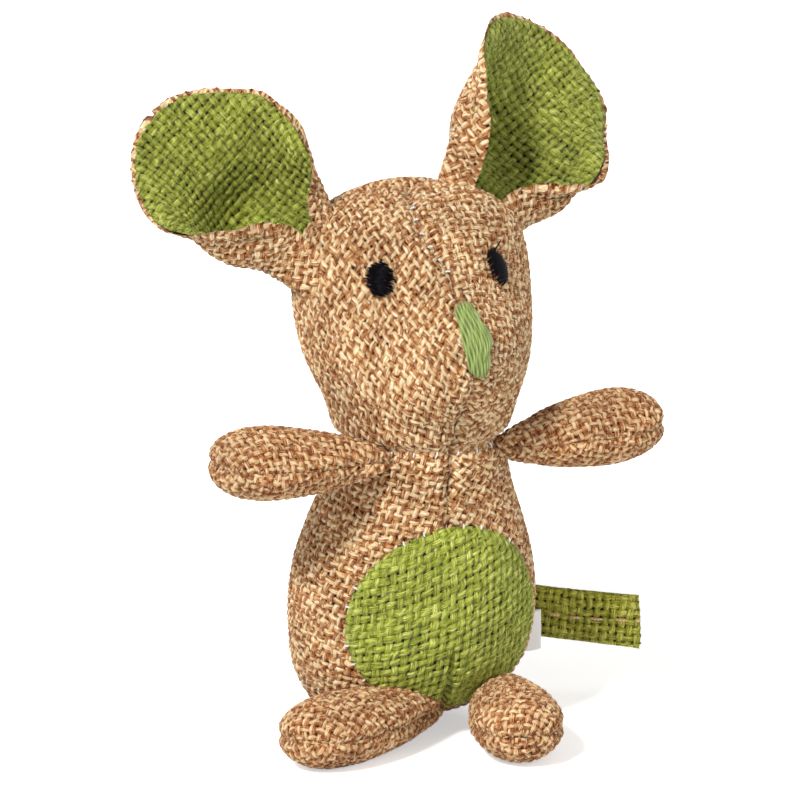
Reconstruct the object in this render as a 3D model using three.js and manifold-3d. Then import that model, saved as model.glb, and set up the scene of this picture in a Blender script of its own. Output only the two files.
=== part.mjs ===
// Linen mouse toy: a small stuffed mouse that sits on its round base, with its feet out in front.
// Millimetres, +Z up. The toy faces -Y and its own left side is +X. The origin is the middle of
// the base, on the surface that the toy sits on.
import * as THREE from "three";
import { mergeVertices } from "three/addons/utils/BufferGeometryUtils.js";
import Module from "manifold-3d";

const wasm = await Module();
wasm.setup();

// Cloth and clearances
const CLOTH = 1.4; // thickness of the sewn linen
const SEAT_GAP = 0.3; // clearance between pieces that touch
const TURN_GAP = 0.35; // clearance round a joint's ball, whose seat is faceted
const BASE_CUT = 0.5; // how far the toy's weight presses each rounded underside flat
const THREAD = 0.9; // height of satin stitching over the cloth

// Body
const BODY_HEIGHT = 61; // surface to neck seam
const BODY_HALF_WIDTH = 25.6;
const BODY_HALF_DEPTH = 20;
const CHEST_LEAN = 5; // how far the neck stands in front of the body's axis
const SEAT_SETBACK = 9; // how far the pressed flat lies behind the body's axis

// Neck: the head's round underside turns in the body's open top
const NECK_BALL_RADIUS = 19;
const NECK_RADIUS = 17;
const NECK_OPENING_RADIUS = 9; // open end of the head's cover, where its filling shows

// Head
const HEAD_HEIGHT = 50; // neck seam to crown
const HEAD_HALF_WIDTH = 25;
const SNOUT_REACH = 33.4; // neck axis plane to nose tip
const HEAD_HALF_DEPTH = 21; // to the back of the head

// Eyes, nose and belly patch
const EYE_RISE = 35.4; // neck seam to the middle of an eye
const EYE_SPREAD = 12.1; // middle seam to the middle of an eye
const EYE_HALF_WIDTH = 2.2;
const EYE_HALF_LENGTH = 3.2;
const NOSE_RISE = 31.8; // neck seam to the nose's top
const NOSE_LENGTH = 13.2;
const NOSE_HALF_WIDTH = 2.7;
const PATCH_HEIGHT = 25.5; // middle of the patch
const PATCH_HALF_LENGTH = 19.8;
const PATCH_HALF_ANGLE = 0.93; // radians round the belly, each way
const PATCH_TURN = 0.05; // radians that the patch's middle lies to the toy's left of the seam

// Ears
const EAR_LENGTH = 37.6; // root bar's axis to tip
const EAR_HALF_WIDTH = 17.4;
const EAR_ROOT_RADIUS = 2.6; // the folded root is a round bar, which is the ear's hinge
const EAR_ROOT_HALF_LENGTH = 8.2;
const EAR_STAND_OFF = 1.2; // bar's axis to the head's surface
const EAR_RIM = 1.3; // tan cloth that shows round the green lining

// Arms and feet
const LIMB_BALL_RADIUS = 4.6;
const LIMB_HALF_WIDTH = 9.6;
const LIMB_HALF_THICKNESS = 7.3;
const LIMB_OPENING_RADIUS = 2.4; // open end of a limb's cover, shut by the seam to the body
const ARM_LENGTH = 29.4; // ball centre to tip
const ARM_SPREAD = 19.4;
const ARM_FORWARD = 15.4;
const ARM_DROP = 1; // neck seam to the middle of an arm
const FOOT_LENGTH = 34.5;
const FOOT_ROOT_HEIGHT = 6.4;
const FOOT_REST_SHARE = 0.66; // of a foot's length, where its underside presses deepest
const FOOT_STAND_OFF = 4.5; // ball centre to the body's surface

// Tail
const TAIL_WIDTH = 10.6;
const TAIL_THICKNESS = 1.8;
const TAIL_REACH = 54; // base axis to tip, sideways
const TAIL_HEIGHT = 18.6; // middle of the strap at its root
const TAIL_DROP = 6; // root to tip
const TAIL_ROOT_RADIUS = 1.5;
const TAIL_STAND_OFF = 0.9;

// Care label
const LABEL_LENGTH = 7;
const LABEL_HEIGHT = 8;
const LABEL_THICKNESS = 0.8;
const LABEL_BASE_HEIGHT = 10.2;
const LABEL_ANGLE = 0.22; // radians behind the side seam

// Squeaker
const BULB_RADIUS = 10.5;
const BULB_HALF_HEIGHT = 8;
const BULB_WALL = 1;
const BULB_HEIGHT = 27; // middle of the bulb
const REED_RADIUS = 3;
const REED_LENGTH = 7;
const REED_FLANGE_RADIUS = 4.6;
const REED_FLANGE = 1;
const REED_BORE_RADIUS = 1;

// Facets
const FORM_SIDES = 36;
const FORM_STEPS = 20;
const INNER_SIDES = 16;
const INNER_STEPS = 9;
const LIMB_SIDES = 18;
const LIMB_STEPS = 13;
const LIMB_INNER_SIDES = 10;
const LIMB_INNER_STEPS = 7;
const SEAT_SIDES = 20;
const NECK_SIDES = 36;
const BELLY_SIDES = 24; // of the belly that a foot is drawn in by
const PATCH_SIDES = 28;
const PATCH_RINGS = 5;
const EAR_ROOT_CAPS = 4;

const LINEN = cloth("#c49a68");
const GREEN_LINEN = cloth("#7f9a2c");
const FLOSS_BLACK = cloth("#17161a");
const FLOSS_GREEN = cloth("#8fb53a");
const LABEL_WHITE = cloth("#f2f2f0");
const FIBRE = cloth("#eeeae2");
const BULB_PLASTIC = new THREE.MeshStandardMaterial({ color: "#d9d6cf", roughness: 0.4, metalness: 0 });
const REED_PLASTIC = new THREE.MeshStandardMaterial({ color: "#f5f5f5", roughness: 0.3, metalness: 0 });

function cloth(color) {
  return new THREE.MeshStandardMaterial({ color, roughness: 0.95, metalness: 0 });
}

// Solids

function solidOf(geometry) {
  const bare = geometry.clone();
  bare.deleteAttribute("normal");
  bare.deleteAttribute("uv");
  const merged = mergeVertices(bare, SEAT_GAP / 1000);
  const triVerts = new Uint32Array(merged.index.array);
  const vertProperties = merged.attributes.position.array;
  return new wasm.Manifold(new wasm.Mesh({ numProp: 3, vertProperties, triVerts }));
}

function geometryOf(solid) {
  const { vertProperties, triVerts } = solid.getMesh();
  const geometry = new THREE.BufferGeometry();
  geometry.setAttribute("position", new THREE.BufferAttribute(new Float32Array(vertProperties), 3));
  geometry.setIndex(new THREE.BufferAttribute(new Uint32Array(triVerts), 1));
  return geometry;
}

function ball(centre, radius, sides = SEAT_SIDES) {
  const geometry = new THREE.SphereGeometry(radius, sides, sides / 2);
  geometry.rotateX(Math.PI / 2);
  geometry.translate(centre.x, centre.y, centre.z);
  return solidOf(geometry);
}

function box(low, high) {
  const size = high.clone().sub(low);
  const middle = low.clone().add(high).multiplyScalar(0.5);
  const geometry = new THREE.BoxGeometry(size.x, size.y, size.z);
  geometry.translate(middle.x, middle.y, middle.z);
  return solidOf(geometry);
}

// Joins rings of points into one closed body. The first and last rings are single points, or
// flat ends when capped. Each ring runs anticlockwise as seen from the end it leads to.
function loft(rings) {
  const points = rings.flat();
  const index = [];
  let start = 0;
  for (let k = 0; k + 1 < rings.length; k += 1) {
    const near = rings[k].length;
    const far = rings[k + 1].length;
    const next = start + near;
    for (let i = 0; i < Math.max(near, far); i += 1) {
      const j = i + 1;
      const a = start + (i % near);
      const b = start + (j % near);
      const c = next + (i % far);
      const d = next + (j % far);
      if (near > 1) index.push(a, b, far > 1 ? d : c);
      if (far > 1) index.push(a, d, c);
    }
    start = next;
  }
  const geometry = new THREE.BufferGeometry().setFromPoints(points);
  geometry.setIndex(index);
  return geometry;
}

// Forms: a form is a stack of sections, each given by a row of its sizes. A smooth curve runs
// through the rows, and a row's parity says how each size goes on past a closed end.

function throughRows(rows, parity) {
  const beyond = (row) => row.map((value, i) => value * parity[i]);
  const all = [beyond(rows[1]), ...rows, beyond(rows[rows.length - 2])];
  return (t) => {
    const k = Math.min(Math.floor(t), rows.length - 2);
    const f = t - k;
    return all[k + 1].map((near, i) => {
      const [before, far, after] = [all[k][i], all[k + 2][i], all[k + 3][i]];
      const leave = (far - before) / 2;
      const arrive = (after - near) / 2;
      const cubic = 2 * near - 2 * far + leave + arrive;
      const square = 3 * far - 3 * near - 2 * leave - arrive;
      return ((cubic * f + square) * f + leave) * f + near;
    });
  };
}

const STUFFED = [1, 1, -1, -1, -1, 1];

// Rows hold height, middle, half width, front depth, back depth and the front's roundness.
function stuffedForm(rows) {
  const at = throughRows(rows, STUFFED);
  const last = rows.length - 1;
  const point = (t, angle) => {
    const [height, middle, wide, front, back, round] = at(t);
    const across = Math.cos(angle);
    const along = Math.sin(angle);
    const bend = 2 / (along < 0 ? round : 2);
    const depth = along < 0 ? front : back;
    const x = wide * Math.sign(across) * Math.abs(across) ** bend;
    const y = middle + depth * Math.sign(along) * Math.abs(along) ** bend;
    return new THREE.Vector3(x, y, height);
  };
  const heightAt = (t) => at(t)[0];
  return { point, last, heightAt, rowAt: at };
}

const HALVINGS = 40;

// Where a form's surface passes a height, counted in rows.
function rowFor(form, height) {
  let low = 0;
  let high = form.last;
  for (let step = 0; step < HALVINGS; step += 1) {
    const middle = (low + high) / 2;
    if (form.heightAt(middle) < height) low = middle;
    else high = middle;
  }
  return (low + high) / 2;
}

// The angle on the form's front at which the surface is this far from the middle seam.
function frontAngle(form, t, across) {
  const [, , wide, , , round] = form.rowAt(t);
  const share = Math.min(Math.abs(across) / wide, 1);
  return -Math.PI / 2 + Math.sign(across) * (Math.PI / 2 - Math.acos(share ** (round / 2)));
}

const NEARBY = 0.01; // of a row, or of a radian

function normalAt(form, t, angle) {
  const up = form.point(t + NEARBY, angle).sub(form.point(t - NEARBY, angle));
  const round = form.point(t, angle + NEARBY).sub(form.point(t, angle - NEARBY));
  return round.cross(up).normalize();
}

function ringsOf(form, steps, sides) {
  const rings = [];
  for (let k = 0; k <= steps; k += 1) {
    const t = (k / steps) * form.last;
    if (k === 0 || k === steps) {
      rings.push([form.point(t, 0)]);
      continue;
    }
    const ring = [];
    for (let i = 0; i < sides; i += 1) ring.push(form.point(t, (i / sides) * 2 * Math.PI));
    rings.push(ring);
  }
  return rings;
}

// The same form drawn in by a wall on every side, about its own middle.
function drawnIn(rings, centre, half, wall) {
  const keep = new THREE.Vector3(1 - wall / half.x, 1 - wall / half.y, 1 - wall / half.z);
  return rings.map((ring) => ring.map((p) => p.clone().sub(centre).multiply(keep).add(centre)));
}

function shellSolids(form, centre, half) {
  const inner = ringsOf(form, INNER_STEPS, INNER_SIDES);
  return {
    outside: solidOf(loft(ringsOf(form, FORM_STEPS, FORM_SIDES))),
    inside: solidOf(loft(drawnIn(inner, centre, half, CLOTH))),
    filling: solidOf(loft(drawnIn(inner, centre, half, CLOTH + SEAT_GAP))),
  };
}

// Shares of the body's height, then how far the section's middle stands behind the body's axis
// as a share of the seat's setback, how far before it as a share of the chest's lean, then shares
// of the half width and half depth
const BODY_SHARES = [
  [-0.008, 1.05, 0, 0, 0],
  [-0.0065, 1.03, 0, 0.2, 0.16],
  [0.007, 0.95, 0, 0.4, 0.33],
  [0.057, 0.6, 0, 0.675, 0.59],
  [0.12, 0.35, 0, 0.82, 0.765],
  [0.195, 0.18, 0, 0.925, 0.88],
  [0.285, 0.06, 0, 0.98, 0.955],
  [0.43, 0, 0.02, 1, 1],
  [0.58, 0, 0.12, 0.955, 0.968],
  [0.715, 0, 0.34, 0.86, 0.882],
  [0.83, 0, 0.64, 0.755, 0.81],
  [0.93, 0, 0.9, 0.685, 0.82],
  [1, 0, 1, 0.664, 0.85],
  [1.055, 0, 1, 0.56, 0.72],
  [1.09, 0, 1, 0, 0],
];

const body = stuffedForm(
  BODY_SHARES.map(([up, behind, lean, wide, deep]) => [
    up * BODY_HEIGHT,
    behind * SEAT_SETBACK - lean * CHEST_LEAN,
    wide * BODY_HALF_WIDTH,
    deep * BODY_HALF_DEPTH,
    deep * BODY_HALF_DEPTH,
    2,
  ]),
);
const BODY_HALF = new THREE.Vector3(BODY_HALF_WIDTH, BODY_HALF_DEPTH, BODY_HEIGHT / 2);
const BODY_MIDDLE = new THREE.Vector3(0, 0, BODY_HEIGHT / 2);

const NECK_RISE = Math.sqrt(NECK_BALL_RADIUS ** 2 - NECK_RADIUS ** 2);
const NECK_CENTRE = new THREE.Vector3(0, -CHEST_LEAN, BODY_HEIGHT + NECK_RISE);

// Shares of the head's height over the neck seam, its middle's distance behind the neck axis,
// half width, snout reach, back reach, and the snout's roundness
const HEAD_SHARES = [
  [0.18, 0, 0.795, 0.812, 0.71, 1.8],
  [0.28, 0.05, 0.885, 0.93, 0.81, 1.62],
  [0.385, 0.1, 0.955, 1, 0.9, 1.48],
  [0.5, 0.14, 0.99, 0.955, 0.97, 1.38],
  [0.62, 0.17, 1, 0.78, 1, 1.28],
  [0.74, 0.2, 0.965, 0.6, 0.97, 1.38],
  [0.85, 0.24, 0.86, 0.41, 0.85, 1.75],
  [0.94, 0.3, 0.62, 0.24, 0.6, 1.9],
  [0.99, 0.33, 0.3, 0.06, 0.37, 2],
  [1, 0.335, 0, 0, 0, 2],
];
const BALL_STEP_ANGLE = Math.PI / 9;
const BALL_ROWS = 5; // rows that follow the neck's ball

function headRows() {
  const rows = [];
  for (let k = 0; k < BALL_ROWS; k += 1) {
    const height = NECK_CENTRE.z - NECK_BALL_RADIUS * Math.cos(k * BALL_STEP_ANGLE);
    const wide = NECK_BALL_RADIUS * Math.sin(k * BALL_STEP_ANGLE);
    rows.push([height, NECK_CENTRE.y, wide, wide, wide, 2]);
  }
  for (const [up, behind, wide, snout, back, round] of HEAD_SHARES) {
    const middle = NECK_CENTRE.y + behind * HEAD_HALF_DEPTH;
    const closed = wide === 0;
    const front = closed ? 0 : snout * SNOUT_REACH + middle;
    const behindMiddle = closed ? 0 : back * HEAD_HALF_DEPTH - middle;
    rows.push([
      BODY_HEIGHT + up * HEAD_HEIGHT,
      middle,
      wide * HEAD_HALF_WIDTH,
      front,
      behindMiddle,
      round,
    ]);
  }
  return rows;
}

const head = stuffedForm(headRows());
const HEAD_HALF = new THREE.Vector3(HEAD_HALF_WIDTH, HEAD_HALF_DEPTH, HEAD_HEIGHT / 2);
const HEAD_MIDDLE = new THREE.Vector3(0, -CHEST_LEAN, BODY_HEIGHT + HEAD_HEIGHT / 2);

// Limbs: rows hold the place along the limb, half width, half thickness and edge sharpness.
const LIMB_PARITY = [1, -1, -1, 1];
const LIMB_SHARES = [
  [0.13, 0.66, 0.79, 1.05],
  [0.3, 0.86, 0.9, 1.15],
  [0.49, 0.985, 0.99, 1.2],
  [0.67, 1, 1, 1.2],
  [0.83, 0.88, 0.87, 1.2],
  [0.95, 0.57, 0.56, 1.15],
  [1, 0, 0, 1.1],
];
const ROOT_STEP_ANGLE = Math.PI / 6;
const ROOT_ROWS = 4; // rows that follow a limb's root ball

// A limb lies along +X from its root ball at the origin, with its edge seam in the XY plane.
function limbForm(length) {
  const rows = [];
  for (let k = 0; k < ROOT_ROWS; k += 1) {
    const along = -LIMB_BALL_RADIUS * Math.cos(k * ROOT_STEP_ANGLE);
    const half = LIMB_BALL_RADIUS * Math.sin(k * ROOT_STEP_ANGLE);
    rows.push([along, half, half, 1]);
  }
  for (const [along, wide, thick, edge] of LIMB_SHARES)
    rows.push([along * length, wide * LIMB_HALF_WIDTH, thick * LIMB_HALF_THICKNESS, edge]);
  const at = throughRows(rows, LIMB_PARITY);
  const point = (t, angle) => {
    const [along, wide, thick, edge] = at(t);
    const rise = Math.sin(angle);
    return new THREE.Vector3(
      along,
      wide * Math.cos(angle),
      thick * Math.sign(rise) * Math.abs(rise) ** edge,
    );
  };
  return { point, last: rows.length - 1 };
}

const UPRIGHT = new THREE.Vector3(0, 1, 0); // axis of a plain cylinder

// A limb's own frame: along it, and as flat as its direction allows.
function limbFrame(root, direction) {
  const along = direction.clone().normalize();
  const side = new THREE.Vector3(0, 0, 1).cross(along).normalize();
  const up = along.clone().cross(side);
  const frame = new THREE.Matrix4().makeBasis(along, side, up);
  return frame.setPosition(root);
}

// The cover's open end faces the way that its limb is sewn on, given in the limb's own frame.
// A foot is drawn in where the belly bears on it: pressed gives what presses, grown by a wall.
function limbSolids(length, inward, pressed) {
  const form = limbForm(length);
  const press = (solid, wall) => (pressed ? solid.subtract(pressed(wall)) : solid);
  const root = ball(new THREE.Vector3(), LIMB_BALL_RADIUS);
  const rootInside = ball(new THREE.Vector3(), LIMB_BALL_RADIUS - CLOTH);
  const centre = new THREE.Vector3((length - LIMB_BALL_RADIUS) / 2, 0, 0);
  const half = new THREE.Vector3((length + LIMB_BALL_RADIUS) / 2, LIMB_HALF_WIDTH, LIMB_HALF_THICKNESS);
  const inner = ringsOf(form, LIMB_INNER_STEPS, LIMB_INNER_SIDES);
  const outside = press(solidOf(loft(ringsOf(form, LIMB_STEPS, LIMB_SIDES))), 0);
  const inside = press(solidOf(loft(drawnIn(inner, centre, half, CLOTH))), CLOTH);
  const filling = press(solidOf(loft(drawnIn(inner, centre, half, CLOTH + SEAT_GAP))), CLOTH + SEAT_GAP);
  const opening = new THREE.CylinderGeometry(
    LIMB_OPENING_RADIUS,
    LIMB_OPENING_RADIUS,
    LIMB_BALL_RADIUS,
    LIMB_INNER_SIDES,
  );
  opening.translate(0, LIMB_BALL_RADIUS, 0);
  opening.applyQuaternion(new THREE.Quaternion().setFromUnitVectors(UPRIGHT, inward));
  const whole = pressed ? outside.add(root) : outside;
  const hollow = pressed ? inside.add(rootInside) : inside;
  return { cover: whole.subtract(hollow).subtract(solidOf(opening)), filling };
}

// The toy is made about its body's axis, and stands so that its seat is over the origin.
const group = new THREE.Group();
const toy = new THREE.Group();
toy.position.y = -SEAT_SETBACK;
group.add(toy);

function addPiece(name, geometry, material, frame) {
  const mesh = new THREE.Mesh(geometry, material);
  mesh.name = name;
  if (frame) frame.decompose(mesh.position, mesh.quaternion, mesh.scale);
  toy.add(mesh);
}

// Seats of the limbs, ears and tail on the body and head

function seatOn(form, height, angle, standOff) {
  const t = rowFor(form, height);
  return form.point(t, angle).addScaledVector(normalAt(form, t, angle), standOff);
}

const RIGHT_FOOT_SEAT_ANGLE = -1.8; // radians round the body from its left side
const LEFT_FOOT_SEAT_ANGLE = -0.82;
const FOOT_FALL = FOOT_ROOT_HEIGHT - LIMB_HALF_THICKNESS + BASE_CUT;
const FOOT_PITCH = FOOT_FALL / (FOOT_REST_SHARE * FOOT_LENGTH);
const RIGHT_FOOT_HEADING = new THREE.Vector3(-0.93, -0.37, -FOOT_PITCH);
const LEFT_FOOT_HEADING = new THREE.Vector3(-0.26, -0.966, -FOOT_PITCH);
const FOOT_SPLAY = { right: [-0.61, 0.09], left: [-0.09, 0.7] }; // turn inward and outward, radians
const SPLAY_STEPS = 4;
const ARM_HEADING_SHARES = { out: 0.99, back: 0.12, up: { right: 0.05, left: 0.04 } };
const SIDES = { left: 1, right: -1 };

const limbs = {};
for (const [side, sign] of Object.entries(SIDES)) {
  const { out, back, up } = ARM_HEADING_SHARES;
  limbs[`${side}_arm`] = {
    length: ARM_LENGTH,
    root: new THREE.Vector3(sign * ARM_SPREAD, -ARM_FORWARD, BODY_HEIGHT - ARM_DROP),
    heading: new THREE.Vector3(sign * out, back, up[side]),
  };
  limbs[`${side}_foot`] = {
    length: FOOT_LENGTH,
    root: seatOn(
      body,
      FOOT_ROOT_HEIGHT,
      side === "left" ? LEFT_FOOT_SEAT_ANGLE : RIGHT_FOOT_SEAT_ANGLE,
      FOOT_STAND_OFF,
    ).setZ(FOOT_ROOT_HEIGHT),
    heading: side === "left" ? LEFT_FOOT_HEADING : RIGHT_FOOT_HEADING,
    splay: FOOT_SPLAY[side].map((angle) => sign * angle),
  };
}

function earFrame(root, up, face) {
  const along = up.clone().normalize();
  const back = face.clone().negate();
  back.addScaledVector(along, -back.dot(along)).normalize();
  const across = back.clone().cross(along);
  return new THREE.Matrix4().makeBasis(across, back, along).setPosition(root);
}

// How each ear stands: its seat's height over the neck seam as a share of the head's height and
// its angle behind the head's widest line, then the ways that its length and its face point
const EAR_POSE_SHARES = {
  right: { height: 0.77, angle: 0.25, up: [-0.61, 0.446, 0.64], face: [-0.3, -0.75, 0.6] },
  left: { height: 0.875, angle: 0.5, up: [0.73, 0.45, 0.57], face: [0.42, -0.75, 0.5] },
};

const earFrames = {};
for (const [side, sign] of Object.entries(SIDES)) {
  const { height, angle, up, face } = EAR_POSE_SHARES[side];
  const seat = seatOn(head, BODY_HEIGHT + height * HEAD_HEIGHT, angle, EAR_STAND_OFF);
  const root = new THREE.Vector3(sign * seat.x, seat.y, seat.z);
  earFrames[side] = earFrame(root, new THREE.Vector3(...up), new THREE.Vector3(...face));
}

const tailRoot = seatOn(body, TAIL_HEIGHT, Math.PI / 2, TAIL_STAND_OFF);

function tailRootSolid(radius, height) {
  const geometry = new THREE.CylinderGeometry(radius, radius, height, SEAT_SIDES / 2);
  geometry.rotateX(Math.PI / 2);
  geometry.translate(tailRoot.x, tailRoot.y, TAIL_HEIGHT);
  return solidOf(geometry);
}

// Solids of revolution

function turned(profile, sides) {
  const geometry = new THREE.LatheGeometry(
    profile.map(([radius, height]) => new THREE.Vector2(radius, height)),
    sides,
  );
  geometry.rotateX(Math.PI / 2);
  return solidOf(geometry);
}

// An ear's root bar in the ear's own frame, round-ended and lying across the ear.
function earRootBar(grown) {
  const radius = EAR_ROOT_RADIUS + grown;
  const straight = EAR_ROOT_HALF_LENGTH - EAR_ROOT_RADIUS;
  const geometry = new THREE.CapsuleGeometry(radius, 2 * straight, EAR_ROOT_CAPS, SEAT_SIDES / 2);
  geometry.rotateZ(Math.PI / 2);
  return solidOf(geometry);
}

// Squeaker

const OVAL_STEPS = 12;

// Half an oval from its top to its mouth, as points of a turned profile.
function ovalHalf(radius, halfHeight, mouth) {
  const points = [];
  const end = Math.PI - Math.asin(mouth / radius);
  for (let k = 0; k <= OVAL_STEPS; k += 1) {
    const angle = (k / OVAL_STEPS) * end;
    points.push([k === 0 ? 0 : radius * Math.sin(angle), halfHeight * Math.cos(angle)]);
  }
  return points;
}

function squeakerSolids() {
  const mouth = REED_RADIUS + SEAT_GAP;
  const outer = ovalHalf(BULB_RADIUS, BULB_HALF_HEIGHT, mouth);
  const inner = ovalHalf(BULB_RADIUS - BULB_WALL, BULB_HALF_HEIGHT - BULB_WALL, mouth);
  const bulb = turned([...inner, ...outer.reverse()], SEAT_SIDES);
  const mouthHeight = outer[0][1];
  const flangeTop = mouthHeight - SEAT_GAP;
  const reed = turned(
    [
      [REED_BORE_RADIUS, flangeTop + REED_LENGTH - REED_FLANGE],
      [REED_BORE_RADIUS, flangeTop - REED_FLANGE],
      [REED_FLANGE_RADIUS, flangeTop - REED_FLANGE],
      [REED_FLANGE_RADIUS, flangeTop],
      [REED_RADIUS, flangeTop],
      [REED_RADIUS, flangeTop + REED_LENGTH - REED_FLANGE],
      [REED_BORE_RADIUS, flangeTop + REED_LENGTH - REED_FLANGE],
    ],
    SEAT_SIDES / 2,
  );
  const pocketOval = ovalHalf(BULB_RADIUS + SEAT_GAP, BULB_HALF_HEIGHT + SEAT_GAP, mouth);
  const pocketEnd = flangeTop - REED_FLANGE - SEAT_GAP;
  const throat = REED_FLANGE_RADIUS + SEAT_GAP;
  const pocketMouth = pocketOval[pocketOval.length - 1][1];
  const bulbPocket = turned([...pocketOval, [0, pocketMouth]].reverse(), SEAT_SIDES);
  const reedPocket = turned(
    [
      [0, pocketEnd],
      [throat, pocketEnd],
      [throat, 0],
      [0, 0],
    ],
    SEAT_SIDES / 2,
  );
  return { bulb, reed, pocket: bulbPocket.add(reedPocket) };
}

const squeaker = squeakerSolids();
const squeakerFrame = new THREE.Matrix4().makeTranslation(0, 0, BULB_HEIGHT);

// Body cover and filling

const bodySolids = shellSolids(body, BODY_MIDDLE, BODY_HALF);
const neckSeat = ball(NECK_CENTRE, NECK_BALL_RADIUS + TURN_GAP, NECK_SIDES);
const REACH = 2 * (BODY_HEIGHT + HEAD_HEIGHT); // further than any piece, for cutting boxes
const underFloor = box(new THREE.Vector3(-REACH, -REACH, -REACH), new THREE.Vector3(REACH, REACH, 0));

const seatRoots = Object.values(limbs).map((limb) => limb.root);

// Every seat is a hollow in the cover, which keeps its thickness behind the hollow.
function seatHollows(centres, radius, wall) {
  return centres.map((centre) => ball(centre, radius + wall));
}

function takeAway(solid, cutters) {
  return cutters.reduce((left, cutter) => left.subtract(cutter), solid);
}

const hollowRadius = LIMB_BALL_RADIUS + TURN_GAP;
const bodyInside = takeAway(bodySolids.inside, [
  ...seatHollows(seatRoots, hollowRadius, CLOTH),
  tailRootSolid(TAIL_ROOT_RADIUS + TURN_GAP + CLOTH, TAIL_WIDTH + 2 * CLOTH + 2 * TURN_GAP),
  underFloor.translate([0, 0, CLOTH]),
]);
const bodyCover = takeAway(bodySolids.outside, [
  bodyInside,
  neckSeat,
  ...seatHollows(seatRoots, hollowRadius, 0),
  tailRootSolid(TAIL_ROOT_RADIUS + TURN_GAP, TAIL_WIDTH + 2 * TURN_GAP),
  underFloor,
]);
addPiece("body_cover", geometryOf(bodyCover), LINEN);

const bodyFilling = takeAway(bodySolids.filling, [
  neckSeat,
  ...seatHollows(seatRoots, hollowRadius, CLOTH + SEAT_GAP),
  tailRootSolid(TAIL_ROOT_RADIUS + TURN_GAP + CLOTH + SEAT_GAP, TAIL_WIDTH + 4 * CLOTH),
  underFloor.translate([0, 0, CLOTH + SEAT_GAP]),
  squeaker.pocket.translate([0, 0, BULB_HEIGHT]),
]);
const behindSeam = box(
  new THREE.Vector3(-REACH, -SEAT_GAP / 2, -REACH),
  new THREE.Vector3(REACH, REACH, REACH),
);
const beforeSeam = box(
  new THREE.Vector3(-REACH, -REACH, -REACH),
  new THREE.Vector3(REACH, SEAT_GAP / 2, REACH),
);
addPiece("body_filling_front", geometryOf(bodyFilling.subtract(behindSeam)), FIBRE);
addPiece("body_filling_back", geometryOf(bodyFilling.subtract(beforeSeam)), FIBRE);
addPiece("squeaker_bulb", geometryOf(squeaker.bulb), BULB_PLASTIC, squeakerFrame);
addPiece("squeaker_reed", geometryOf(squeaker.reed), REED_PLASTIC, squeakerFrame);

// Head cover and filling

const headSolids = shellSolids(head, HEAD_MIDDLE, HEAD_HALF);
const earHollows = (wall) =>
  Object.values(earFrames).map((frame) => earRootBar(TURN_GAP + wall).transform(frame.elements));
const neckMouth = new THREE.CylinderGeometry(
  NECK_OPENING_RADIUS,
  NECK_OPENING_RADIUS,
  NECK_BALL_RADIUS,
  INNER_SIDES,
);
neckMouth.rotateX(Math.PI / 2);
neckMouth.translate(NECK_CENTRE.x, NECK_CENTRE.y, NECK_CENTRE.z - NECK_BALL_RADIUS);
const headInside = takeAway(headSolids.inside, earHollows(CLOTH));
const headCover = takeAway(headSolids.outside, [
  headInside,
  solidOf(neckMouth),
  ...earHollows(0),
]);
addPiece("head_cover", geometryOf(headCover), LINEN);
const headFilling = takeAway(headSolids.filling, earHollows(CLOTH + SEAT_GAP));
addPiece("head_filling", geometryOf(headFilling), FIBRE);

// Arms and feet

// The belly and its patch as they bear on a foot through the whole of its turn about its root.
function bellyRound(limb, wall) {
  const grown = CLOTH + 2 * SEAT_GAP + wall;
  const rings = drawnIn(ringsOf(body, FORM_STEPS, BELLY_SIDES), BODY_MIDDLE, BODY_HALF, -grown);
  const belly = solidOf(loft(rings));
  const [inward, outward] = limb.splay;
  const turns = [];
  for (let k = 0; k <= SPLAY_STEPS; k += 1) {
    const angle = inward + ((outward - inward) * k) / SPLAY_STEPS;
    const turn = new THREE.Matrix4().makeTranslation(limb.root);
    turn.multiply(new THREE.Matrix4().makeRotationZ(-angle));
    turn.multiply(new THREE.Matrix4().makeTranslation(limb.root.clone().negate()));
    turns.push(belly.transform(turn.elements));
  }
  return turns.reduce((sum, next) => sum.add(next));
}

for (const [name, limb] of Object.entries(limbs)) {
  const frame = limbFrame(limb.root, limb.heading);
  const toLimb = frame.clone().invert();
  const inward = BODY_MIDDLE.clone().sub(limb.root).transformDirection(toLimb);
  const pressed = limb.splay && ((wall) => bellyRound(limb, wall).transform(toLimb.elements));
  const solids = limbSolids(limb.length, inward, pressed);
  const floor = underFloor.transform(toLimb.elements);
  const cover = limb.splay ? solids.cover.subtract(floor) : solids.cover;
  addPiece(`${name}_cover`, geometryOf(cover), LINEN, frame);
  addPiece(`${name}_filling`, geometryOf(solids.filling), FIBRE, frame);
}

// Pieces that follow a form's surface: a round-ended pad from SEAT_GAP over the surface to its
// own thickness more, with its edge drawn down.

const PAD_EDGE_SHARE = 0.35; // of the pad's thickness left at its edge

function padGeometry(form, place, rings, sides, thickness) {
  const lift = (share, angle, height) => {
    const { t, round } = place(share, angle);
    return form.point(t, round).addScaledVector(normalAt(form, t, round), height);
  };
  const under = [];
  const over = [];
  for (let k = 0; k <= rings; k += 1) {
    const share = k / rings;
    const dome = PAD_EDGE_SHARE + (1 - PAD_EDGE_SHARE) * Math.sqrt(1 - share ** 4);
    const low = [];
    const high = [];
    for (let i = 0; i < (k === 0 ? 1 : sides); i += 1) {
      const angle = (i / sides) * 2 * Math.PI;
      low.push(lift(share, angle, SEAT_GAP));
      high.push(lift(share, angle, SEAT_GAP + thickness * dome));
    }
    under.push(low);
    over.push(high);
  }
  return loft([...over, ...under.reverse()]);
}

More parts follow.
